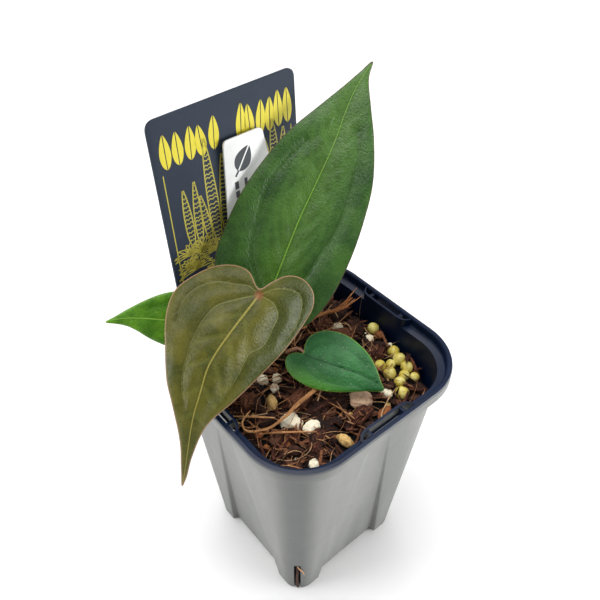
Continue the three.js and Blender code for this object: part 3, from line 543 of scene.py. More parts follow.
# ---- pot --------------------------------------------------------------------
def rounded_square(half, radius, z, panel=5.0, depth=0.0):
    """Outline with rounded corners and a panel set back halfway along each side."""
    flat, step, arc = half - radius, 0.55, 20
    side = [(half, -flat), (half, blend(-flat, -panel - step, 0.5))]
    for t in (-1.0, -0.72, -0.36, 0.0, 0.36, 0.72, 1.0):
        s = (t + 1) / 2
        side.append((half - depth * s * s * (3 - 2 * s), -panel + step * t))
    side += [(half - depth, -panel * 0.5), (half - depth, 0.0)]
    side += [(x, -y) for x, y in side[-2::-1]]
    side += [(flat + radius * math.cos(a), flat + radius * math.sin(a))
             for a in np.arange(1, arc) / arc * math.pi / 2]
    return np.array([(c * x - s * y, s * x + c * y, z)
                     for c, s in ((1, 0), (0, 1), (-1, 0), (0, -1)) for x, y in side])


def wall_plan(z, inset=0.0):
    """Half width and corner radius of the wall at a height, that far in from its outside."""
    t = clamp(z / LEDGE_Z)
    return blend(FOOT_HALF, TOP_HALF, t) - inset, blend(FOOT_RADIUS, TOP_RADIUS, t) - inset


def panel_plan(z):
    """Half width and depth of the recessed panel at a height."""
    t = clamp(z / PANEL_TOP_Z)
    return blend(PANEL_FOOT_HALF, PANEL_TOP_HALF, t), PANEL_DEPTH * (1 - t)


def wall_ring(z, inset):
    return rounded_square(*wall_plan(z, inset), z, *panel_plan(z))


def wall_depth(x, y, z=77.0, inset=WALL):
    """How far a point is inside the wall, by default its inner face."""
    half, radius = wall_plan(z, inset)
    qx, qy = abs(x) - (half - radius), abs(y) - (half - radius)
    return radius - math.hypot(max(qx, 0), max(qy, 0)) - min(max(qx, qy), 0)


def boolean(shape, cutters, operation):
    """The shape with each cutter taken away from it or added to it."""
    obj = to_object("work", shape.points, shape.faces)
    helpers = [to_object("cut", c.points, c.faces) for c in cutters]
    for h in helpers:
        m = obj.modifiers.new("cut", "BOOLEAN")
        m.operation, m.object, m.solver = operation, h, "MANIFOLD"
    result = obj.evaluated_get(bpy.context.evaluated_depsgraph_get()).to_mesh()
    made = Shape([v.co for v in result.vertices], [tuple(p.vertices) for p in result.polygons])
    for o in [obj] + helpers:
        bpy.data.objects.remove(o)
    return made


def turned(points, angle):
    c, s = math.cos(angle), math.sin(angle)
    x, y, z = np.asarray(points, float).T
    return columns(c * x - s * y, s * x + c * y, z)


def box_shape(size, centre, angle=0.0):
    x, y = np.array([(-1, -1), (1, -1), (1, 1), (-1, 1)]).T
    return skin([turned(columns(x, y, z) * size / 2 + centre, angle) for z in (-1, 1)])


def slab(front, back, low, high, angle):
    """Upright slab between two lines of equal length, of (x, y) points."""
    return skin([turned([(*a, low), (*a, high), (*b, high), (*b, low)], angle) for a, b in zip(front, back)])


def lip_line(t):
    """Inner lip halfway along a side: it bows inwards from the rim's band."""
    bulge = TOP_HALF - 0.8
    return bulge + (LIP_HALF - 0.8 - bulge) * (abs(t) / LIP_SPAN) ** 10


def build_pot():
    outer = [wall_ring(0, 0.7), wall_ring(0.15, 0.3), wall_ring(0.5, 0.0)]
    outer += [wall_ring(z, 0) for z in np.r_[np.linspace(2, PANEL_TOP_Z, 22), 81.0, LEDGE_Z]]
    for inset, z in ((0.3, LEDGE_Z), (0.08, LEDGE_Z + 0.1), (0, LEDGE_Z + 0.35), (0, HEIGHT - 0.7),
                     (0.06, HEIGHT - 0.35), (0.22, HEIGHT - 0.1), (0.5, HEIGHT)):
        outer.append(rounded_square(RIM_HALF - inset, RIM_RADIUS - inset, z))
    inner = [wall_ring(FLOOR, WALL)]
    inner += [wall_ring(z, WALL) for z in np.r_[np.linspace(5, PANEL_TOP_Z, 18), 81.0, LEDGE_Z + 0.6]]
    for inset, z in ((0.3, LEDGE_Z + 1.0), (0, LEDGE_Z + 1.4), (-0.02, HEIGHT - 0.3), (-0.35, HEIGHT)):
        inner.append(rounded_square(LIP_HALF - inset, RIM_RADIUS - RIM_THICK - inset, z))

    cuts, adds = [], []
    slot_low, slot_high = TOP_HALF + 0.1, LIP_HALF - 0.1
    web_low, web_high, web_tall = TOP_HALF - 0.8, LIP_HALF + 0.3, RIM_BAND - 0.9
    hole_at, hole_radius = (FOOT_HALF + 8) / 2, 2.2
    gap_low, gap_high = 8, FOOT_HALF + 3
    corner = (FOOT_HALF - FOOT_RADIUS) * math.sqrt(2) + FOOT_RADIUS
    tail = LIP_HALF + 0.4
    bow = np.linspace(-LIP_SPAN, LIP_SPAN, 41)
    front = [(tail, -10.3)] + [(lip_line(t) - LIP_THICK / 2, t) for t in bow] + [(tail, 10.3)]
    back = [(tail, -LIP_SPAN)] + [(lip_line(t) + LIP_THICK / 2, t) for t in bow] + [(tail, LIP_SPAN)]
    hole = columns(hole_at + hole_radius * np.cos(circle(28)), hole_radius * np.sin(circle(28)), 0)
    for quarter in range(4):
        turn = quarter * math.pi / 2
        cuts.append(box_shape((slot_high - slot_low, 17.2, 4), ((slot_low + slot_high) / 2, 0, LEDGE_Z), turn))
        cuts.append(box_shape((gap_high - gap_low, 11.8, 2), ((gap_high + gap_low) / 2, 0, 0), turn))
        cuts.append(skin([turned(hole + (0, 0, z), turn) for z in (-1.0, 5.0)]))
        cuts.append(box_shape((5, 2.2, 2 * SLOT_HEIGHT), (corner + 0.6, 0, 0), turn + math.pi / 4))
        adds.append(slab(front, back, LEDGE_Z + 0.1, LEDGE_Z + 3.6, turn))
        for t in (-WEB_AT, WEB_AT):
            adds.append(box_shape((web_high - web_low, 1.0, web_tall),
                                  ((web_high + web_low) / 2, t, LEDGE_Z + 0.05 + web_tall / 2), turn))
    body = boolean(boolean(skin(outer + inner[::-1]), cuts, "DIFFERENCE"), adds, "UNION")
    obj = make("pot_shell", body, [M["pot_outside_painted_reflection"], M["pot_inside"]], ["pot"], 32, False)

    # Faces that look up at the rim or in towards the middle take the dark plastic; all others take the grey painted
    # reflection.
    for polygon in obj.data.polygons:
        c, normal = polygon.center / MM, polygon.normal
        away = Vector((c.x, c.y, 0)).normalized()
        if c.z > LEDGE_Z - 0.3:
            dark = normal.z > 0.6 or normal.dot(away) < 0.15 and normal.z > -0.5
        elif c.z < FLOOR + 0.3:
            dark = normal.z > 0.5 and c.z > 1.5
        else:
            panel, depth = panel_plan(c.z)
            across = min(abs(c.x), abs(c.y)) < panel + 0.6
            dark = wall_depth(*c, 0.0) > 0.4 + (depth if across else 0)
        polygon.material_index = int(dark)


# ---- bark mix ---------------------------------------------------------------
def mix_surface(x, y):
    waves = 0.7 * np.sin(0.31 * x + 0.5) * np.cos(0.27 * y - 0.4) + 0.4 * np.sin(0.63 * x - 0.2 * y + 1)
    corner = 4.5 * np.exp(-((x - 27) ** 2 + (y + 25) ** 2) / 128)
    mound = 0.8 * np.exp(-((x - CROWN[0]) ** 2 + (y - CROWN[1]) ** 2) / 98)
    return MIX_TOP + waves - corner + mound


def card_point(x, up, depth, front):
    """A point of a card that leans back: across, up from the rim's level, and into the card."""
    y = depth * math.cos(TAG_LEAN) + up * math.sin(TAG_LEAN)
    z = -depth * math.sin(TAG_LEAN) + up * math.cos(TAG_LEAN)
    c, s = math.cos(TAG_YAW), math.sin(TAG_YAW)
    return columns(c * x - s * y, s * x + c * y + front, z + HEIGHT)


def offset_loop(loop, amount):
    """A closed flat outline moved outwards, with its corners mitred."""
    p = np.asarray(loop, float)
    a = p - np.roll(p, 1, 0)
    b = np.roll(p, -1, 0) - p
    a /= np.linalg.norm(a, axis=1)[:, None]
    b /= np.linalg.norm(b, axis=1)[:, None]
    out = np.stack([a[:, 1] + b[:, 1], -(a[:, 0] + b[:, 0])], 1)
    out /= np.linalg.norm(out, axis=1)[:, None]
    area = (p[:, 0] * np.roll(p[:, 1], -1) - p[:, 1] * np.roll(p[:, 0], -1)).sum()
    sign = 1 if area > 0 else -1
    spread = amount / np.maximum(0.4, out[:, 0] * a[:, 1] - out[:, 1] * a[:, 0])
    return p + sign * out * spread[:, None]


def rounded_loop(outline, corner, steps=8):
    loop = []
    pts = np.asarray(outline, float)
    for k, here in enumerate(pts):
        before, after = pts[k - 1] - here, pts[(k + 1) % len(pts)] - here
        enter = here + before / np.linalg.norm(before) * corner
        leave = here + after / np.linalg.norm(after) * corner
        for j in range(steps + 1):
            t = j / steps
            loop.append((1 - t) ** 2 * enter + 2 * t * (1 - t) * here + t * t * leave)
    return np.array(loop)


def card_shape(loop, thick, front, bevel=0.12):
    rings = []
    for grow, depth in ((-bevel, 0), (-bevel * 0.3, bevel * 0.3), (0, bevel), (0, thick - bevel),
                        (-bevel * 0.3, thick - bevel * 0.3), (-bevel, thick)):
        rings.append(card_point(*offset_loop(loop, grow).T, depth, front))
    n = len(loop)
    faces = [tuple(range(n))[::-1], tuple(range(5 * n, 6 * n))]
    return Shape(np.vstack(rings), faces + ring_faces(6, n))


TAG_LOOP = rounded_loop([(TAG_X - TAG_HALF, TAG_TOP), (TAG_X - TAG_HALF, 11), (TAG_X - NECK_HALF, -4),
                         (TAG_X - NECK_HALF * 0.56, -26), (TAG_X + NECK_HALF * 0.56, -26), (TAG_X + NECK_HALF, -4),
                         (TAG_X + TAG_HALF, 11), (TAG_X + TAG_HALF, TAG_TOP)], 3.0)
LABEL_LOOP = rounded_loop([(-4.4, 57), (-6.6, 22), (-5.6, 0), (2, -22), (9.6, 0), (11.6, 22), (11.2, 44),
                           (8.8, 56.7)], 1.6)


def build_bed():
    inset = WALL + 0.3
    rings = [wall_ring(z, inset) for z in (2.3, 12, 26, 40, 54, 66)]
    edge = wall_ring(MIX_TOP - 3, inset)
    for scale in np.linspace(0.985, 0.06, 44):
        x, y = edge[:, 0] * scale, edge[:, 1] * scale
        rings.append(columns(x, y, mix_surface(x, y) + 0.55 * fuzz(columns(x, y, 0), 0.55, 3.0, 4)))
    cuts = []
    for loop, thick, front in ((TAG_LOOP, TAG_THICK, TAG_FRONT), (LABEL_LOOP, LABEL_THICK, LABEL_FRONT)):
        grown = offset_loop(loop, 0.35)
        cuts.append(skin([card_point(*grown.T, d, front) for d in (-0.25, thick + 0.25)]))
    hole, angle = STEM_RADIUS + 0.4, circle(32)
    cuts.append(skin([columns(CROWN[0] + hole * np.cos(angle), CROWN[1] + hole * np.sin(angle), z)
                      for z in (MIX_TOP - 6.3, MIX_TOP + 8.0)]))
    body = boolean(skin(rings), cuts, "DIFFERENCE")
    body.values = {"grain": body.points.copy(), "tone": np.full(len(body.points), 0.5)}
    make("mix_bed", body, M["bed"], ["potting_mix"], 50)


# ---- pieces of the mix ------------------------------------------------------
_balls = {}


def ball(level):
    if level not in _balls:
        bm = bmesh.new()
        bmesh.ops.create_icosphere(bm, subdivisions=level, radius=1.0)
        _balls[level] = (np.array([v.co for v in bm.verts]), [tuple(v.index for v in f.verts) for f in bm.faces])
        bm.free()
    return _balls[level]


def pebble(level, half, axes, centre, seed, bumps=0.14, pits=0.0, dents=1.2):
    """An uneven round piece, of those half sizes along its own axes."""
    unit, faces = ball(level)
    swell = 1 + bumps * fuzz(unit, dents, seed, 3)
    if pits:
        swell -= pits * np.array([max(0.0, 0.35 - noise.voronoi(Vector(p) * 2.6 + Vector((seed, 0, 0)))[0][0])
                                  for p in unit])
    local = unit * swell[:, None]
    local = local / max(1.0, np.abs(local).max()) * half
    return Shape(local @ axes + centre, faces, grain=local + seed * 3.1, tone=np.full(len(unit), (seed * 0.37) % 1))


def splinter(half, axes, centre, seed, around=14, along=9, ridge=0.2, ragged=0.2, square=3.2, tone=0.5):
    """A fibrous chunk with its strands along its first axis."""
    grid_s, grid_a = np.meshgrid(np.linspace(-1, 1, along), circle(around), indexing="ij")
    c, w, s = np.cos(grid_a).ravel(), np.sin(grid_a).ravel(), grid_s.ravel()
    radius = 1 / (np.abs(c) ** square + np.abs(w) ** square) ** (1 / square)
    strands = fuzz(columns(c * 1.5, w * 1.5, s * 0.35), 1.0, seed)
    threads = fuzz(columns(c * 5.5, w * 5.5, s * 0.6), 1.0, seed + 5)
    reach = fuzz(columns(c * 2.2, w * 2.2, np.sign(s) * 2), 1.0, seed + 9)
    radius = np.clip(radius * (0.82 + ridge * strands + ridge * 0.9 * threads), 0.25, 1.0)
    radius = radius * (1 - np.abs(s) ** 5 * 0.9) ** 0.5
    x = np.clip(s * (0.86 + ragged * reach * np.abs(s) ** 2), -1, 1)
    sag = 0.18 * np.sin(s * 1.7 + seed)
    local = columns(x * half[0], radius * c * half[1], np.clip(radius * w + sag * 0.3, -1, 1) * half[2])
    shape = skin(list(local.reshape(along, around, 3)))
    grain = shape.points + seed * 5.7
    return Shape(shape.points @ axes + centre, shape.faces, grain=grain, tone=np.full(len(grain), tone))


def own_axes(node):
    """Middle, axes and half sizes of a packed lump."""
    co = np.array([v.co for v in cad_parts[node].data.vertices], float) / MM
    co = np.unique(co.round(5), axis=0)
    middle = (co.max(0) + co.min(0)) / 2
    axes = np.linalg.svd(co - co.mean(0), full_matrices=False)[2]
    if np.linalg.det(axes) < 0:
        axes[2] *= -1
    along = (co - middle) @ axes.T
    middle = middle + ((along.max(0) + along.min(0)) / 2) @ axes
    return middle, axes, (along.max(0) - along.min(0)) / 2


def kept_in(shape, room=0.15):
    """The same shape with any point that would go through the pot's wall moved back inside it."""
    for k, (x, y, z) in enumerate(shape.points):
        z = min(z, LEDGE_Z)
        short, away = room - wall_depth(x, y, z), math.hypot(x, y)
        for _ in range(3):
            if short > 0:
                x, y = x * (1 - short / away), y * (1 - short / away)
                short = room - wall_depth(x, y, z)
        shape.points[k, :2] = x, y
    return shape


def lumps(stem, count):
    """Number, node, middle, axes and half sizes of each packed lump of a kind."""
    for k in range(1, count + 1):
        yield (k, f"{stem}_{k}", *own_axes(f"{stem}_{k}"))


def build_named_pieces():
    for k, node, middle, axes, half in lumps("bark_chunk", 12):
        strips = [splinter(half * 1.02, axes, middle, k * 1.7, 64, 40, 0.34, 0.45, 3.4,
                           (0.55, 0.3, 0.75, 0.45)[k % 4])]
        for j in range(9):
            offset = np.array([rng.uniform(-0.35, 0.35), rng.uniform(-0.8, 0.8), rng.uniform(0.45, 0.9)]) * half
            size = (half[0] * rng.uniform(0.35, 0.85), rng.uniform(0.14, 0.34), rng.uniform(0.12, 0.24))
            turn = np.array(Matrix.Rotation(rng.gauss(0, 0.22), 3, axes[2].tolist()).transposed())
            strips.append(splinter(size, axes @ turn, middle + offset @ axes, k * 3.1 + j, 8, 14, 0.3, 0.4, 2.2,
                                   rng.uniform(0.4, 1.0)))
        look = "bark" if k % 2 else "bark_red"
        make(f"bark_piece_{k}", kept_in(gather(strips)), M[look], [node])
    for k, node, middle, axes, half in lumps("perlite", 9):
        shape = pebble(4, half * (1.4 if k > 6 else 1.2), axes, middle, k * 2.3, 0.2, 0.3, 1.3)
        make(f"perlite_grain_{k}", shape, M["perlite"], [node])
    for k, node, middle, axes, half in lumps("pumice", 4):
        look = ("pumice", "pumice", "stone", "clay")[k - 1]
        if look == "stone":
            shape = splinter(half * (1.3, 1.5, 1.2), axes, middle, 33.0, 40, 24, 0.2, 0.3, 4.0, 0.8)
        else:
            shape = pebble(4, half * 1.2, axes, middle, 30 + k, 0.26, 0.3, 1.3)
        make(f"pumice_grain_{k}", shape, M[look], [node])
    for k, node, middle, axes, half in lumps("fertiliser_prill", 11):
        shape = pebble(4, half * (1.12 if k in (1, 10) else 1.25), np.eye(3), middle, 50 + k, 0.06, 0.0, 0.9)
        make(f"prill_{k}", shape, M["prill"], [node])


def resting(x, y, lift):
    """The height that far above the mix."""
    return float(mix_surface(x, y)) + lift


def random_axes(flatness=0.35):
    """Axes of a piece lying about flat, turned any way."""
    turn = rng.uniform(0, 2 * math.pi)
    m = Matrix.Rotation(turn, 3, "Z") @ Matrix.Rotation(rng.gauss(0, flatness), 3, "Y")
    m = m @ Matrix.Rotation(rng.gauss(0, flatness), 3, "X")
    return np.array(m.transposed())


def clear_of_cards(x, y, room):
    return y < CARDS_NEAR - room or y > CARDS_FAR + room or abs(x - TAG_X) > CARDS_HALF + room


def scatter(count, size, taken=()):
    """Places inside the pot, kept off the crown, the tags and the pieces named in taken."""
    found, reach = [], 31
    while len(found) < count:
        x, y = rng.uniform(-reach, reach), rng.uniform(-reach, reach)
        if wall_depth(x, y) < size + 0.3 or not clear_of_cards(x, y, size):
            continue
        if math.hypot(x - CROWN[0], y - CROWN[1]) < STEM_RADIUS + 1.2 + size:
            continue
        if any(math.hypot(x - a, y - b) < r + size * 0.6 for a, b, r in taken):
            continue
        found.append((x, y))
    return found


def heap(name, shapes, look, sharp=None):
    make(name, kept_in(gather(shapes)), M[look], (), sharp)


def build_fill():
    special = []
    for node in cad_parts:
        if node.startswith(("perlite", "pumice", "fertiliser_prill")):
            middle, _, half = own_axes(node)
            special.append((middle[0], middle[1], max(half[0], half[1])))
    chips = []
    for k, (x, y) in enumerate(scatter(230, 1.6, special)):
        half = (rng.uniform(1.6, 4.4), rng.uniform(0.9, 2.1), rng.uniform(0.5, 1.2))
        z = resting(x, y, half[2] * 0.5 + rng.uniform(-0.2, 1.5))
        chips.append(splinter(half, random_axes(0.38), (x, y, z), 100 + k * 0.71, 22, 12, 0.34, 0.45, 3.0,
                              rng.uniform(0.0, 0.9)))
    heap("fill_bark_chips", chips, "bark", 50)
    shreds = []
    for k, (x, y) in enumerate(scatter(330, 1.2, special)):
        half = (rng.uniform(1.6, 5.2), rng.uniform(0.25, 0.75), rng.uniform(0.12, 0.34))
        z = resting(x, y, 0.5 + rng.uniform(0.2, 2.8))
        shreds.append(splinter(half, random_axes(0.4), (x, y, z), 300 + k * 0.53, 10, 10, 0.34, 0.45, 2.4,
                               rng.uniform(0.1, 1.0)))
    heap("fill_bark_shreds", shreds, "bark_red", 50)
    crumbs = []
    for k, (x, y) in enumerate(scatter(620, 0.7)):
        r = rng.uniform(0.35, 1.1)
        half = (r, r * rng.uniform(0.6, 0.9), r * rng.uniform(0.5, 0.8))
        z = resting(x, y, r * 0.3 + rng.uniform(0, 0.8))
        crumbs.append(pebble(2, half, random_axes(0.5), (x, y, z), 500 + k * 0.37, 0.35, 0.0, 1.5))
    heap("fill_crumbs", crumbs, "crumb", 50)
    for look, count, low, high, seed in (("perlite", 18, 0.35, 0.9, 900), ("pumice", 30, 0.5, 1.3, 1000),
                                         ("clay", 34, 0.8, 1.7, 1100)):
        grains = []
        for k, (x, y) in enumerate(scatter(count, 1.0, special)):
            r = rng.uniform(low, high)
            half = (r, r * rng.uniform(0.7, 0.95), r * rng.uniform(0.65, 0.9))
            z = resting(x, y, r * 0.6 + rng.uniform(0.3, 1.2))
            grains.append(pebble(3, half, random_axes(0.5), (x, y, z), seed + k * 0.61, 0.22, 0.2, 1.3))
        heap("fill_" + look, grains, look)
    fibres = []
    for k, (x, y) in enumerate(scatter(300, 1.0, special)):
        turn = rng.uniform(0, 2 * math.pi)
        curve = rng.gauss(0, 0.12)
        length = rng.choice((4.0, 6.0, 9.0, 12.0, 16.0))
        radius = rng.choice((0.06, 0.08, 0.1, 0.13, 0.18))
        z = resting(x, y, 0.8 + rng.uniform(0.8, 3.4))
        line = []
        for j in range(6):
            if wall_depth(x, y) < 0.5 or not clear_of_cards(x, y, 0.4):
                break
            if math.hypot(x - CROWN[0], y - CROWN[1]) < STEM_RADIUS + 0.5:
                break
            line.append((x, y, z + 0.5 * math.sin(j * 0.9 + k) + rng.uniform(-0.12, 0.12)))
            x, y = x + math.cos(turn) * length / 5, y + math.sin(turn) * length / 5
            turn += curve + rng.gauss(0, 0.1)
        if len(line) >= 3:
            fibres.append(tube(line, [radius, radius * 1.1, radius * 0.5], 6, 0.45, k, 0.15,
                               tone=rng.uniform(0.3, 1.0)))
    heap("fill_fibres", fibres, "fibre")


def strand_bundle(path, radii, strands, spread, seed, flare):
    """Several strands that run together and part at the far end."""
    shapes = []
    base = resample(catmull(path, False, 8), 1.0)
    n = len(base)
    f = np.linspace(0, 1, n)
    for k in range(strands):
        angle = 2 * math.pi * k / strands + seed
        parting = spread * (0.5 + flare * f ** 3)
        away = columns(parting * math.cos(angle), parting * math.sin(angle), parting * 0.7 * math.sin(2 * angle))
        wander = 0.12 * columns(np.sin(f * 9 + k), np.cos(f * 7 + 2 * k), np.sin(f * 8 + 3 * k))
        stop = n - int(n * 0.22 * ((k * 0.618) % 1))
        shapes.append(tube((base + away + wander)[:stop], radii, 8, 0.5, seed + k, 0.2, tone=0.35 + 0.12 * (k % 4)))
    return gather(shapes)


def build_fibres():
    def strand(line, radii, around, step, seed, rough, tone, flat=1.0):
        """A fibre through points whose heights are given from the crown's top."""
        return tube([(x, y, z + CROWN_TOP) for x, y, z in line], radii, around, step, seed, rough, flat, tone)

    trunk = strand([(-28.0, -10.2, 0.8), (-23.6, -12.0, 0.8), (-17.9, -11.7, 0.8), (-12, -10.5, 0.8),
                    (-5, -9.6, 0.6)], [0.34, 0.4, 0.5, 0.62, 0.72], 14, 0.4, 3.0, 0.3, 0.75, 0.75)
    loop = strand([(-28.0, -10.2, 0.8), (-29.2, -8.6, 0.8), (-28.6, -6.2, 1.0), (-26.4, -5.0, 1.4),
                   (-24.6, -4.6, 1.6)], [0.34, 0.3, 0.28, 0.22, 0.14], 8, 0.4, 4.0, 0.1, 0.9)
    thin = [0.2, 0.28, 0.22]
    thin_a = strand([(-29.2, -2.0, 0.4), (-25, -5.9, 0.6), (-20.4, -10.0, 0.4)], thin, 8, 0.4, 5.0, 0.15, 0.95)
    thin_b = strand([(-26.2, -10.4, -1.4), (-20.8, -14.4, -1.2), (-13.6, -19.8, -1.6)], thin, 8, 0.4, 6.0,
                    0.15, 0.8)
    husk = strand_bundle([(x, y, z + CROWN_TOP) for x, y, z in
                          ((8.2, 12.6, -0.2), (15, 13.6, 0), (21.4, 9.2, 3), (27, 7.6, 7.4))],
                         [0.26, 0.34, 0.28, 0.1], 7, 0.5, 1.0, 2.2)
    hairs = [strand(line, [0.05, 0.07, 0.04], 6, 0.5, 7.0, 0.1, 1.0)
             for line in ([(30.2, 22.5, 4.5), (30.0, 22.3, 1), (29.6, 22.0, -2.6)],
                          [(30.4, 8.2, 3.6), (30.0, 8.6, 0), (29.4, 8.0, -4.8)])]

    def at_foot(out, across, z):
        """A point by the near foot's corner: out from it, across it, and up."""
        half, radius = wall_plan(z)
        reach = (half - radius) * math.sqrt(2) + radius + out
        return (across - reach) / math.sqrt(2), (-across - reach) / math.sqrt(2), z

    top = SLOT_HEIGHT
    root = tube([at_foot(-0.2, 0.1, 0.9), at_foot(-0.25, -0.15, top - 13), at_foot(-0.2, 0.1, top - 6),
                 at_foot(-0.3, 0, top - 1)], [0.42, 0.5, 0.46, 0.36], 12, 0.3, 8.0, 0.35, tone=0.4)
    stray = tube([at_foot(-0.15, 0.1, top - 0.8), at_foot(0.3, 0.8, top - 1.8), at_foot(0.2, 1.9, top - 4.2),
                  at_foot(0.0, 2.3, top - 7)], [0.18, 0.22, 0.2, 0.12], 8, 0.3, 9.0, 0.15, tone=0.8)
    for name, shape, look, nodes in (
            ("fibre_long_twig", gather([trunk, loop]), "twig", ["fibre_long"]),
            ("fibre_thin_a", thin_a, "husk", ["fibre_thin_1"]), ("fibre_thin_b", thin_b, "husk", ["fibre_thin_2"]),
            ("husk_strands", husk, "husk", ["husk_strand"]), ("wall_hairs", gather(hairs), "fibre", []),
            ("slot_root_piece", root, "bark", ["slot_root"]), ("slot_fibre_piece", stray, "fibre", ["slot_fibre"])):
        make(name, shape, M[look], nodes)


# ---- leaves -----------------------------------------------------------------
FACING = np.array([-0.478, -0.567, 0.671])


class Blade:
    """Flat leaf coordinates, x from joint to tip and y across, laid on the leaf's curved surface."""

    def __init__(self, joint, tip, roll=0.0, bow=0.0, slopes=(0, 0), bend=0.0, soft=3.0, facing=FACING):
        rim = np.array([0, 0, HEIGHT])
        self.joint, self.tip = np.array(joint) + rim, np.array(tip) + rim
        self.length = np.linalg.norm(self.tip - self.joint)
        self.along = (self.tip - self.joint) / self.length
        face = np.array(facing) - np.dot(facing, self.along) * self.along
        face /= np.linalg.norm(face)
        side = np.cross(self.along, face)
        self.up = math.cos(math.radians(roll)) * face + math.sin(math.radians(roll)) * side
        self.across = np.cross(self.along, self.up)
        self.bow, self.slopes, self.bend, self.soft = bow, slopes, bend, soft

    def height(self, x, y):
        f = x / self.length
        arch = self.bow * np.where(f > 0, 4 * f * (1 - f), 2.4 * f)
        off = y - self.bend * np.where(f > 0, 4 * f * (1 - f), 2 * f)
        slope = np.where(off > 0, self.slopes[0], self.slopes[1])
        return arch - slope * (np.sqrt(off * off + self.soft ** 2) - self.soft)

    def point(self, x, y, lift=0.0):
        x, y = np.broadcast_arrays(x, y)
        h = self.height(x, y) + lift
        return self.joint + x[..., None] * self.along + y[..., None] * self.across + h[..., None] * self.up


def side_veins(mid, outline, primary, starts, angle, turn):
    """Fine veins from the midrib outwards, each ending short of the margin or at a main vein."""
    found = []
    for f in starts:
        at = mid[int(f * (len(mid) - 1))]
        heading = mid[min(len(mid) - 1, int(f * (len(mid) - 1)) + 3)] - at
        base = math.atan2(heading[1], heading[0])
        for side in (1, -1):
            p, a, line = at.copy(), base + side * angle, [at.copy()]
            for k in range(60):
                p = p + 0.6 * np.array([math.cos(a), math.sin(a)])
                a -= side * turn
                d_edge = line_distance(p[None], outline, True)[0][0]
                if not inside(p[None], outline)[0] or d_edge < 1.2:
                    break
                line.append(p.copy())
                if k > 3 and any(line_distance(p[None], v)[0][0] < 0.5 for v in primary):
                    break
            if len(line) > 5:
                found.append(np.array(line))
    return found


def leaf(name, blade, outline, mid, laterals, starts, material, node, quilt=0.3, rib=0.12, groove=0.18,
         wave=0.3, mid_width=0.5, vein_width=0.4, thick=LEAF_THICK, spacing=0.62, angle=0.95, turn=0.03, keel=0.5,
         seed=1.0, ridge_up=0.0):
    """A leaf blade as a thin closed body. Its midrib and side veins all start at the joint."""
    loop = catmull(outline, True, 10)
    loop = resample(np.vstack([loop, loop[:1]]), 0.5)[:-1]
    mid_line, *lateral_lines = (resample(catmull([(0, 0)] + v, False, 8), 0.5) for v in [mid] + laterals)
    ribs = side_veins(mid_line, loop, lateral_lines, starts, angle, turn)
    lines = [mid_line] + lateral_lines
    low, high = loop.min(0), loop.max(0)
    grid = np.vstack([columns(np.arange(low[0] + (j % 2) * spacing / 2, high[0], spacing), y)
                      for j, y in enumerate(np.arange(low[1], high[1], spacing * 0.866))])
    grid = grid[inside(grid, loop)]
    grid = grid[line_distance(grid, loop, True)[0] > 0.34]
    for line in lines:
        grid = grid[line_distance(grid, line)[0] > 0.3]
    coords, edges = [Vector(p) for p in loop], []
    for line in lines:
        line = line[line_distance(line, loop, True)[0] > 0.3]
        start = len(coords)
        coords += [Vector(p) for p in line]
        edges += [(start + k, start + k + 1) for k in range(len(line) - 1)]
    coords += [Vector(p) for p in grid]
    got = delaunay_2d_cdt(coords, edges, [list(range(len(loop)))], 1, 1e-4)
    flat = np.array([tuple(v) for v in got[0]])
    centres = np.array([flat[list(f)].mean(0) for f in got[2]])
    tris = [tuple(f) for f, keep in zip(got[2], inside(centres, loop)) if keep]

    # Distance of each point from the margin, the midrib, the main veins and the fine ones.
    d_edge, s_edge = line_distance(flat, loop, True)
    d_mid, s_mid = line_distance(flat, mid_line)
    mid_at = d_mid / (mid_width * (1.05 - 0.75 * s_mid))
    d_side, side_at, d_rib = (np.full(len(flat), FAR) for _ in range(3))
    for line in lateral_lines:
        d, s = line_distance(flat, line)
        side_at = np.minimum(side_at, d / (vein_width * (1.1 - 0.85 * s)))
        d_side = np.minimum(d_side, d)
    for line in ribs:
        d_rib = np.minimum(d_rib, line_distance(flat, line)[0])
    d_main = np.minimum(d_mid, d_side)
    # Height of the blade over its smooth surface, and its thickness.
    margin = 1 - np.exp(-(d_edge / 2.4) ** 2)
    lift = quilt * (1 - np.exp(-(d_main / 2.6) ** 2)) * margin
    lift += rib * (1 - np.exp(-(d_rib / 1.1) ** 2)) * margin * (1 - np.exp(-(d_main / 1.5) ** 2))
    lift -= groove * np.exp(-(d_side / 0.45) ** 2)
    lift += ridge_up * np.exp(-mid_at ** 2)
    at = columns(*flat.T, 0)
    lift += 0.35 * fuzz(at, 0.09, seed) * margin + 0.05 * fuzz(at, 0.5, seed + 3) * margin
    lift += wave * np.sin(s_edge * 2 * math.pi * 9 + seed) * np.exp(-d_edge / 2.5) * np.minimum(1, d_main / 4)
    full = 0.10 + (thick - 0.10) * (1 - np.exp(-d_edge / 0.35))
    under_vein = keel * np.exp(-(mid_at / 0.9) ** 2) * (1.1 - s_mid) + 0.18 * np.exp(-(d_side / 0.4) ** 2)
    top = blade.point(*flat.T, lift + full / 2)
    bottom = blade.point(*flat.T, lift - full / 2 - under_vein * np.minimum(1, d_edge / 1.5))
    n = len(flat)
    faces = tris + [tuple(i + n for i in f[::-1]) for f in tris]
    used = dict.fromkeys((f[k - 1], f[k]) for f in tris for k in range(3))
    faces += [(b, a, a + n, b + n) for a, b in used if (b, a) not in used]
    both = {"vein": side_at, "mid": mid_at, "mid_mm": d_mid, "edge": d_edge, "rib": d_rib}
    shape = Shape(np.vstack([top, bottom]), faces, under=np.r_[np.zeros(n), np.ones(n)],
                  flat=np.vstack([at, at + (0, 0, 5)]), **{k: np.r_[v, v] for k, v in both.items()})
    make(name, shape, material, [node], 70)


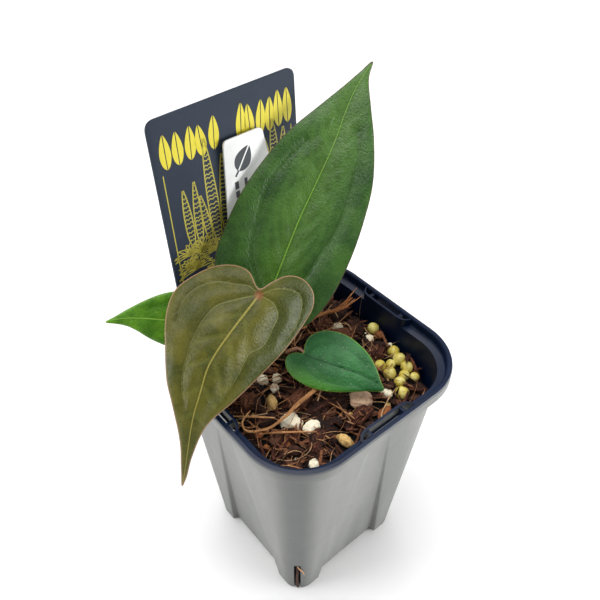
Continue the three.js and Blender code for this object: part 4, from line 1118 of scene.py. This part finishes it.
BRONZE = Blade((-13, 5, 25.7), (-49.5, -7, -13.3), -5, 6, (0.25, 0.4), 5, 3)
TALL = Blade((-6.3, 11.1, 15.1), (42.4, 23.6, 67.7), 0, 4, (-0.15, -0.15), 0, 4)
SMALL = Blade((-2, -1.5, 0.7), (8.6, -23.2, -3.3), -12, 2, (0.1, 0.1), 0, 2)
LEFT = Blade((-17.5, 17.1, 7.1), (-46, 30, 17.5), -5, 2, (0.1, 0.1), 0, 2)


def build_leaves():
    leaf("blade_bronze", BRONZE,
         [(-1.6, 0.6), (-4.7, 4.6), (-5, 8), (-3.2, 12.8), (1.2, 17.4), (7, 20.8), (12.7, 20.6), (20.4, 17.7),
          (28.5, 14), (33.8, 10.3), (42.9, 4.7), (49.6, 2), (54.6, 0), (51.4, -0.2), (45.3, 0.5), (36, 0), (28, -4),
          (18.5, -8.6), (10, -12.2), (2.7, -14.3), (-2, -15), (-6, -13.4), (-8.2, -9.4), (-7.6, -5.4), (-4.6, -2)],
         [(6.4, 1.9), (11.6, 3.4), (17.5, 4.8), (21.7, 5.3), (28.6, 4.7), (35.3, 4), (47.7, 1.3), (53.6, 0.1)],
         [[(-1.2, 3.2), (-0.4, 6.6), (1, 11.7), (4.5, 15.9), (8.7, 17.7), (14, 17.2)],
          [(0.8, 1.4), (3.7, 5.8), (6.7, 9.3), (11.2, 11), (15.7, 11.6), (21, 11.4), (26.8, 10.4), (33, 7.6)],
          [(0.6, -4.2), (3.1, -6.6), (6.7, -6.6), (11.9, -5.9), (14.9, -3.3), (20.4, -2.7), (28, -1.2),
           (34, 0.9)],
          [(-3.1, -3.6), (-4.3, -7.5), (-3.9, -10.3), (-1.3, -11.9), (4.2, -12.3), (9, -11)]],
         (0.12, 0.24, 0.37, 0.5, 0.63), M["bronze"], "leaf_bronze", quilt=0.6, rib=0.3, groove=0.3,
         wave=0.35, mid_width=0.36, vein_width=0.22, seed=1.0, ridge_up=0.12)
    leaf("blade_tall", TALL,
         [(-1.5, 0.3), (-4.4, 4), (-5, 8.5), (-2, 12.6), (3.6, 15), (10, 16.3), (19.7, 16.6), (30, 15.8), (41, 13.8),
          (52.7, 9.1), (60, 5), (67.7, 1), (72.7, 0), (68.2, -2.1), (62.9, -4.4), (56.1, -7.8), (46, -12.6),
          (36.6, -15.7), (26, -17.8), (14, -18.5), (6, -17.8), (0, -15.2), (-3.4, -11.5), (-4.2, -7.6),
          (-3.2, -3.2)],
         [(7.1, -0.1), (25, -0.7), (35.7, -0.5), (46.7, -0.4), (56.8, -1.1), (63.8, -1.2), (71.6, -0.1)],
         [[(5, -4.8), (10.2, -8.8), (15.5, -10.5), (21.1, -11.3), (28.6, -12.2), (36.8, -10.8), (45, -7.6)],
          [(5, 4.6), (11.1, 7.4), (17.9, 8.4), (26, 9.8), (35.2, 9.2), (45.6, 7.4), (53, 4.2)]],
         (0.1, 0.2, 0.3, 0.41, 0.52, 0.63, 0.74), M["tall"], "leaf_tall", quilt=0.5, rib=0.2,
         groove=0.3, wave=0.35, mid_width=0.28, vein_width=0.24, seed=2.0, angle=0.85, ridge_up=0.05)
    leaf("blade_small", SMALL,
         [(-0.9, -0.2), (-2.6, 0.3), (-4.5, 1.5), (-5, 3.4), (-4, 5.4), (-1.4, 7.1), (3, 8), (7.5, 7.7), (12, 6.4),
          (16, 4.6), (20, 2.4), (24.4, 0), (22.6, -1.9), (20.3, -4.4), (16.6, -7.3), (12.3, -9.1), (8, -9.9),
          (4, -9.5), (0.6, -8), (-1.5, -5.4), (-1.6, -2.4)],
         [(1.4, 0.1), (6, -0.2), (12.1, -0.7), (17.1, -1.2), (22, -1.0)],
         [[(1.4, -3.4), (6, -6.2), (12, -6.0), (17, -4.2)], [(1.6, 3.0), (6, 4.8), (12, 4.0), (17, 2.2)]],
         (0.2, 0.4, 0.6), M["small"], "leaf_small", quilt=0.3, rib=0.1, groove=0.12, wave=0.12,
         mid_width=0.34, vein_width=0.24, spacing=0.45, keel=0.3, seed=3.0, ridge_up=-0.3)
    leaf("blade_left", LEFT,
         [(-1, 0.5), (-3.2, 3), (-3.4, 6), (-1, 8.8), (4, 10.2), (9, 10.4), (16.7, 9.5), (21.8, 7.5), (27, 4.4),
          (30.9, 1.6), (33, 0), (30.2, -0.2), (27.7, -0.5), (24.8, -1.6), (21.3, -3.5), (17.7, -5), (11, -6.8),
          (4, -7.8), (-1, -7), (-3.2, -5), (-2.8, -2.2)],
         [(6, 1.2), (12, 1.7), (17, 1.8), (23, 1.9), (27, 1.7), (31, 1.0)],
         [[(2.4, 4.4), (8, 7.0), (15, 6.9), (22, 4.6)], [(2.6, -3.4), (8, -4.2), (15, -2.8), (21, -0.6)]],
         (0.2, 0.4, 0.6, 0.78), M["left"], "leaf_left", quilt=0.22, rib=0.1, groove=0.12, wave=0.12,
         mid_width=0.34, vein_width=0.2, spacing=0.5, keel=0.3, seed=4.0)

    def sheath(name, node, joint, tip, facing, width, seed):
        blade = Blade(joint, tip, 0, 0.8, (0.45, 0.45), 0, 1, facing)
        n = blade.length
        outline = [(0, 0), (0.6, width * 0.8), (n * 0.4, width), (n * 0.8, width * 0.45), (n, 0),
                   (n * 0.8, -width * 0.45), (n * 0.4, -width), (0.6, -width * 0.8)]
        loop = resample(np.vstack([catmull(outline, True, 8), [outline[0]]]), 0.4)[:-1]
        centre = np.array([n * 0.4, 0])
        flat = [centre + (loop - centre) * f for f in np.linspace(0.1, 1, 9)]
        flat += flat[::-1]
        rings = []
        for k, (x, y) in enumerate(ring.T for ring in flat):
            ragged = 0.14 * fuzz(columns(x * 0.4, y * 1.6, 0), 1, seed, 3)
            rings.append(blade.point(x, y, ragged + (0.13 if k > 8 else -0.13)))
        flat = np.vstack(flat + [centre[None], centre[None]])
        shape = skin(rings, grain=columns(*flat.T, 0), tone=np.full(len(flat), 0.5))
        make(name, shape, M["sheath"], [node])

    sheath("sheath_front", "cataphyll_1", (2.9, 14.4, -9.1), (5.4, 16.2, 5.7), (0.8, 0.4, 0.1), 1.9, 2.0)
    sheath("sheath_back", "cataphyll_2", (-1.2, 18.2, -8.7), (-0.4, 20.4, 2.7), (0.05, 1, 0.05), 1.7, 3.0)


def build_stalks():
    rings, grain = [], []
    around = 40
    c, w = np.cos(circle(around)), np.sin(circle(around))
    for z in np.arange(MIX_TOP - 6, CROWN_TOP + 0.01, 0.25):
        r = np.interp(z - MIX_TOP, [-6, 0, 3, 5.4, 6], [3.0, 3.1, 2.9, 2.6, 1.9])
        r += 0.16 * max(0.0, math.sin((z - 70) * 2.3)) ** 4 - 0.08
        r = r + 0.1 * fuzz(columns(c * 2, w * 2, z * 0.6), 1, 2.0)
        rings.append(columns(CROWN[0] + r * c, CROWN[1] + r * w, z))
        grain.append(columns(z, 3 * c, 3 * w))
    grain = np.vstack(grain + [np.zeros((2, 3))])
    make("crown", skin(rings, grain=grain, tone=np.full(len(grain), 0.5)), M["stem"], ["stem"])

    def stalk(name, node, blade, start, middle, radii, look):
        end = blade.point(0.5, 0.0, -(LEAF_THICK / 2 + 0.1 + radii[-1]))
        way = [start] + [(x, y, z + HEIGHT) for x, y, z in middle] + [tuple(end)]
        make(name, tube(way, radii, 20, 0.35, 2.0, 0.06), M[look], [node])

    x, y = CROWN
    stalk("stalk_bronze_leaf", "petiole_bronze", BRONZE, (x - 0.9, y - 1.4, CROWN_TOP + 0.1),
          [(-5.2, 11.2, 1.7), (-9.3, 9.8, 11.3)], [1.3, 1.15, 1.0, 0.95, 0.9, 0.92, 1.12, 1.05], "stalk_bronze")
    stalk("stalk_tall_leaf", "petiole_tall", TALL, (x + 0.9, y + 1.4, CROWN_TOP + 0.1),
          [(-1.4, 14.6, 2.7)], [1.3, 1.15, 1.0, 1.0, 1.15, 1.05], "stalk_green")
    stalk("stalk_small_leaf", "petiole_small", SMALL, (x + 1.7, y - STEM_RADIUS - 0.6, MIX_TOP + 3.4),
          [(0.2, 4.5, -2.9)], [0.75, 0.55, 0.42, 0.36, 0.4], "stalk_pink")
    stalk("stalk_left_leaf", "petiole_left", LEFT, (x - STEM_RADIUS - 0.1, y + STEM_RADIUS, MIX_TOP + 3.4),
          [(-9.4, 18.6, -2.9), (-14.4, 19.4, 3.1)], [0.95, 0.9, 0.85, 0.82, 0.85], "stalk_green")


# ---- tags -------------------------------------------------------------------
def ribbon(line, width, front=TAG_FRONT):
    """A raised printed line on a card."""
    p = np.asarray(line, float)
    d = np.gradient(p, axis=0)
    d /= np.maximum(np.linalg.norm(d, axis=1), 1e-9)[:, None]
    across = columns(-d[:, 1], d[:, 0]) * width / 2
    sides = ((p + across, INK_SINK), (p + across, -INK_RISE), (p - across, -INK_RISE), (p - across, INK_SINK))
    return skin(list(np.stack([card_point(*side.T, depth, front) for side, depth in sides], 1)))


def leaf_halves(x, y, length, width, tilt, gap, front=TAG_FRONT):
    """Both halves of a printed pointed leaf, as raised patches on a card."""
    t = np.linspace(0, 1, 14)
    bulge = width / 2 * np.sin(math.pi * t ** 0.8) ** 0.8
    c, s = math.cos(tilt), math.sin(tilt)
    for side in (1, -1):
        u, v = side * (gap + bulge), t * length
        yield skin([card_point(x + c * u - s * v, y + s * u + c * v, d, front) for d in (INK_SINK, -INK_RISE)])


def build_tags():
    make("picture_card", card_shape(TAG_LOOP, TAG_THICK, TAG_FRONT), M["tag"], ["picture_tag"], 30)
    make("label_stick", card_shape(LABEL_LOOP, LABEL_THICK, LABEL_FRONT, 0.1), M["label"],
         ["stick_label"], 30)
    draw = random.Random(11)
    bold = []
    for first, last, count, low, tall in ((-20.8, -6.1, 5, 54.6, 8.8), (2.8, 19.8, 6, 53.4, 10.0)):
        for x in np.linspace(first, last, count):
            tilt = draw.uniform(-0.1, 0.1)
            y = low + draw.uniform(-0.3, 0.4)
            bold += leaf_halves(x, y, tall + draw.uniform(-0.5, 0.5), 3.1, tilt, 0.14)
    make("tag_leaf_row", gather(bold), M["ink"], (), 30)

    thin = [ribbon(line, 0.3) for line in (((-22.5, 53.6), (-22.7, 14)), ((-22.7, 14), (20.8, 14)),
                                           ((20.8, 14), (20.8, 52.6)))]

    def spear(x, y, length, width, tilt):
        """A banded upright leaf."""
        c, s = math.cos(tilt), math.sin(tilt)

        def put(u, v):
            return columns(x + c * u - s * v, y + s * u + c * v)

        t = np.linspace(0, 1, 22)
        bulge = width / 2 * np.sin(math.pi * np.clip(t, 0.02, 0.98) ** 0.7) ** 0.6
        thin.extend(ribbon(put(u, t * length), 0.34) for u in (bulge, -bulge))
        bands = int(length / 1.25)
        for f in np.arange(1, bands) / bands:
            half = width / 2 * math.sin(math.pi * f ** 0.7) ** 0.6
            v = f * length + np.array([0, 0.5, 0.1, 0.55, 0]) + draw.uniform(-0.2, 0.2)
            thin.append(ribbon(put(np.linspace(-half, half, 5), v), 0.3))

    def rosette(x, y, size, count):
        """A tuft of narrow drooping leaves."""
        t = np.linspace(0, 1, 9)
        for k in range(count):
            a = math.pi * (k + 0.5) / count + draw.uniform(-0.08, 0.08)
            length = size * draw.uniform(0.75, 1.1)
            for w in (0.45, -0.45):
                wide = w * np.sin(math.pi * t)
                u = x + math.cos(a) * length * t - math.sin(a) * wide
                v = y + math.sin(a) * length * t + math.cos(a) * wide - 0.32 * length * t ** 2.2
                thin.append(ribbon(columns(u, v), 0.28))

    for spec in ((-17.2, 30.5, 17, 2.5, 0.03), (-14.6, 30, 18.6, 2.4, -0.03), (-8.6, 27, 32, 3.4, 0.02),
                 (-5.6, 29, 24, 3.0, -0.06), (-11.2, 29, 15, 2.2, 0.1), (14.2, 40, 16.5, 2.8, 0.02),
                 (16.8, 40, 13, 2.4, -0.08), (11.8, 40, 12, 2.2, 0.1)):
        spear(*spec)
    for spec in ((-18.6, 28, 5.6, 10), (-14.2, 27.5, 6, 11), (-19.6, 24, 4.6, 9), (-11.4, 25.4, 5.2, 9),
                 (-17, 22.5, 6.6, 11), (-10.4, 19.5, 6.0, 10), (-16.4, 17.2, 4.6, 8), (15, 36, 5.4, 10),
                 (4, 30, 7, 12), (12, 24, 6.4, 11), (-3, 20, 5.5, 10)):
        rosette(*spec)
    make("tag_plant_lines", gather(thin), M["ink_thin"], (), 30)

    marks = list(leaf_halves(-0.6, 47.2, 7.4, 5.2, -0.62, 0.25, LABEL_FRONT))
    marks.append(ribbon([(-1.7, 45.9), (-0.5, 47.4)], 0.6, LABEL_FRONT))
    for x, y, low, width in ((-1.6, 44.4, 24.0, 1.3), (1.6, 44.4, 22.0, 1.0), (6.4, 42.0, 25.0, 1.0)):
        while y > low:
            dash = draw.uniform(0.9, 3.4)
            marks.append(ribbon([(x, y), (x, y - dash)], width, LABEL_FRONT))
            y -= dash + 0.6
    make("label_marks", gather(marks), M["label_ink"], (), 30)


build_pot()
build_bed()
build_named_pieces()
build_fill()
build_fibres()
build_leaves()
build_stalks()
build_tags()


# ---- floor, light and camera ------------------------------------------------
def build_stage():
    reach = 1.5
    corners = np.array([(-reach, -reach, 0), (reach, -reach, 0), (reach, reach, 0), (-reach, reach, 0)])
    floor = to_object("floor", corners - (0, 0, 0.05 * MM), [(0, 1, 2, 3)], False)
    floor.data.materials.append(Paint("floor_paper").finish((0.94, 0.94, 0.94, 1), 0.9, None, 0.1))
    world = bpy.data.worlds.new("studio")
    bpy.context.scene.world = world
    world.use_nodes = True
    nodes, links = world.node_tree.nodes, world.node_tree.links
    background = nodes["Background"]
    background.inputs[0].default_value = (1.0, 1.0, 1.0, 1)
    direction = nodes.new("ShaderNodeTexCoord")
    towards = nodes.new("ShaderNodeVectorMath")
    towards.operation = "DOT_PRODUCT"
    towards.inputs[1].default_value = (-0.707, -0.707, 0.0)
    dim = nodes.new("ShaderNodeMapRange")
    dim.interpolation_type = "SMOOTHSTEP"
    for socket, value in zip(("From Min", "From Max", "To Min", "To Max"), (0.45, 0.95, 0.58, 0.2)):
        dim.inputs[socket].default_value = value
    links.new(direction.outputs["Generated"], towards.inputs[0])
    links.new(towards.outputs["Value"], dim.inputs["Value"])
    links.new(dim.outputs[0], background.inputs[1])

    def area(name, place, size, power, aim=(0, 0, 0.07)):
        light = bpy.data.lights.new(name, "AREA")
        light.shape, light.size, light.size_y, light.energy = "RECTANGLE", size[0], size[1], power
        o = bpy.data.objects.new(name, light)
        o.location = place
        o.rotation_mode = "QUATERNION"
        o.rotation_quaternion = (Vector(aim) - Vector(place)).to_track_quat("-Z", "Y")
        bpy.context.scene.collection.objects.link(o)

    area("overhead", (0.0, 0.15, 0.9), (0.7, 0.7), 6.5)
    area("left_bank", (-0.8, 0.45, 0.3), (0.4, 0.5), 5.5)
    area("right_bank", (0.65, -0.8, 0.2), (0.7, 0.4), 11.0, (0, 0, 0.03))


def build_camera():
    data = bpy.data.cameras.new("camera")
    data.sensor_width = 36.0
    data.lens = 39.463
    data.clip_start, data.clip_end = 0.01, 20.0
    camera = bpy.data.objects.new("camera", data)
    right = Vector((0.76738611, -0.64116457, 0.00515205))
    up = Vector((0.42730227, 0.51738004, 0.74143824))
    look = Vector((0.4780495, 0.56676793, -0.67100133))
    matrix = Matrix((right, up, -look)).transposed().to_4x4()
    matrix.translation = Vector((-87.513, -99.990, 227.482)) * MM
    camera.matrix_world = matrix
    bpy.context.scene.collection.objects.link(camera)
    bpy.context.scene.camera = camera


build_stage()
build_camera()
bpy.context.scene.view_settings.view_transform = "Standard"
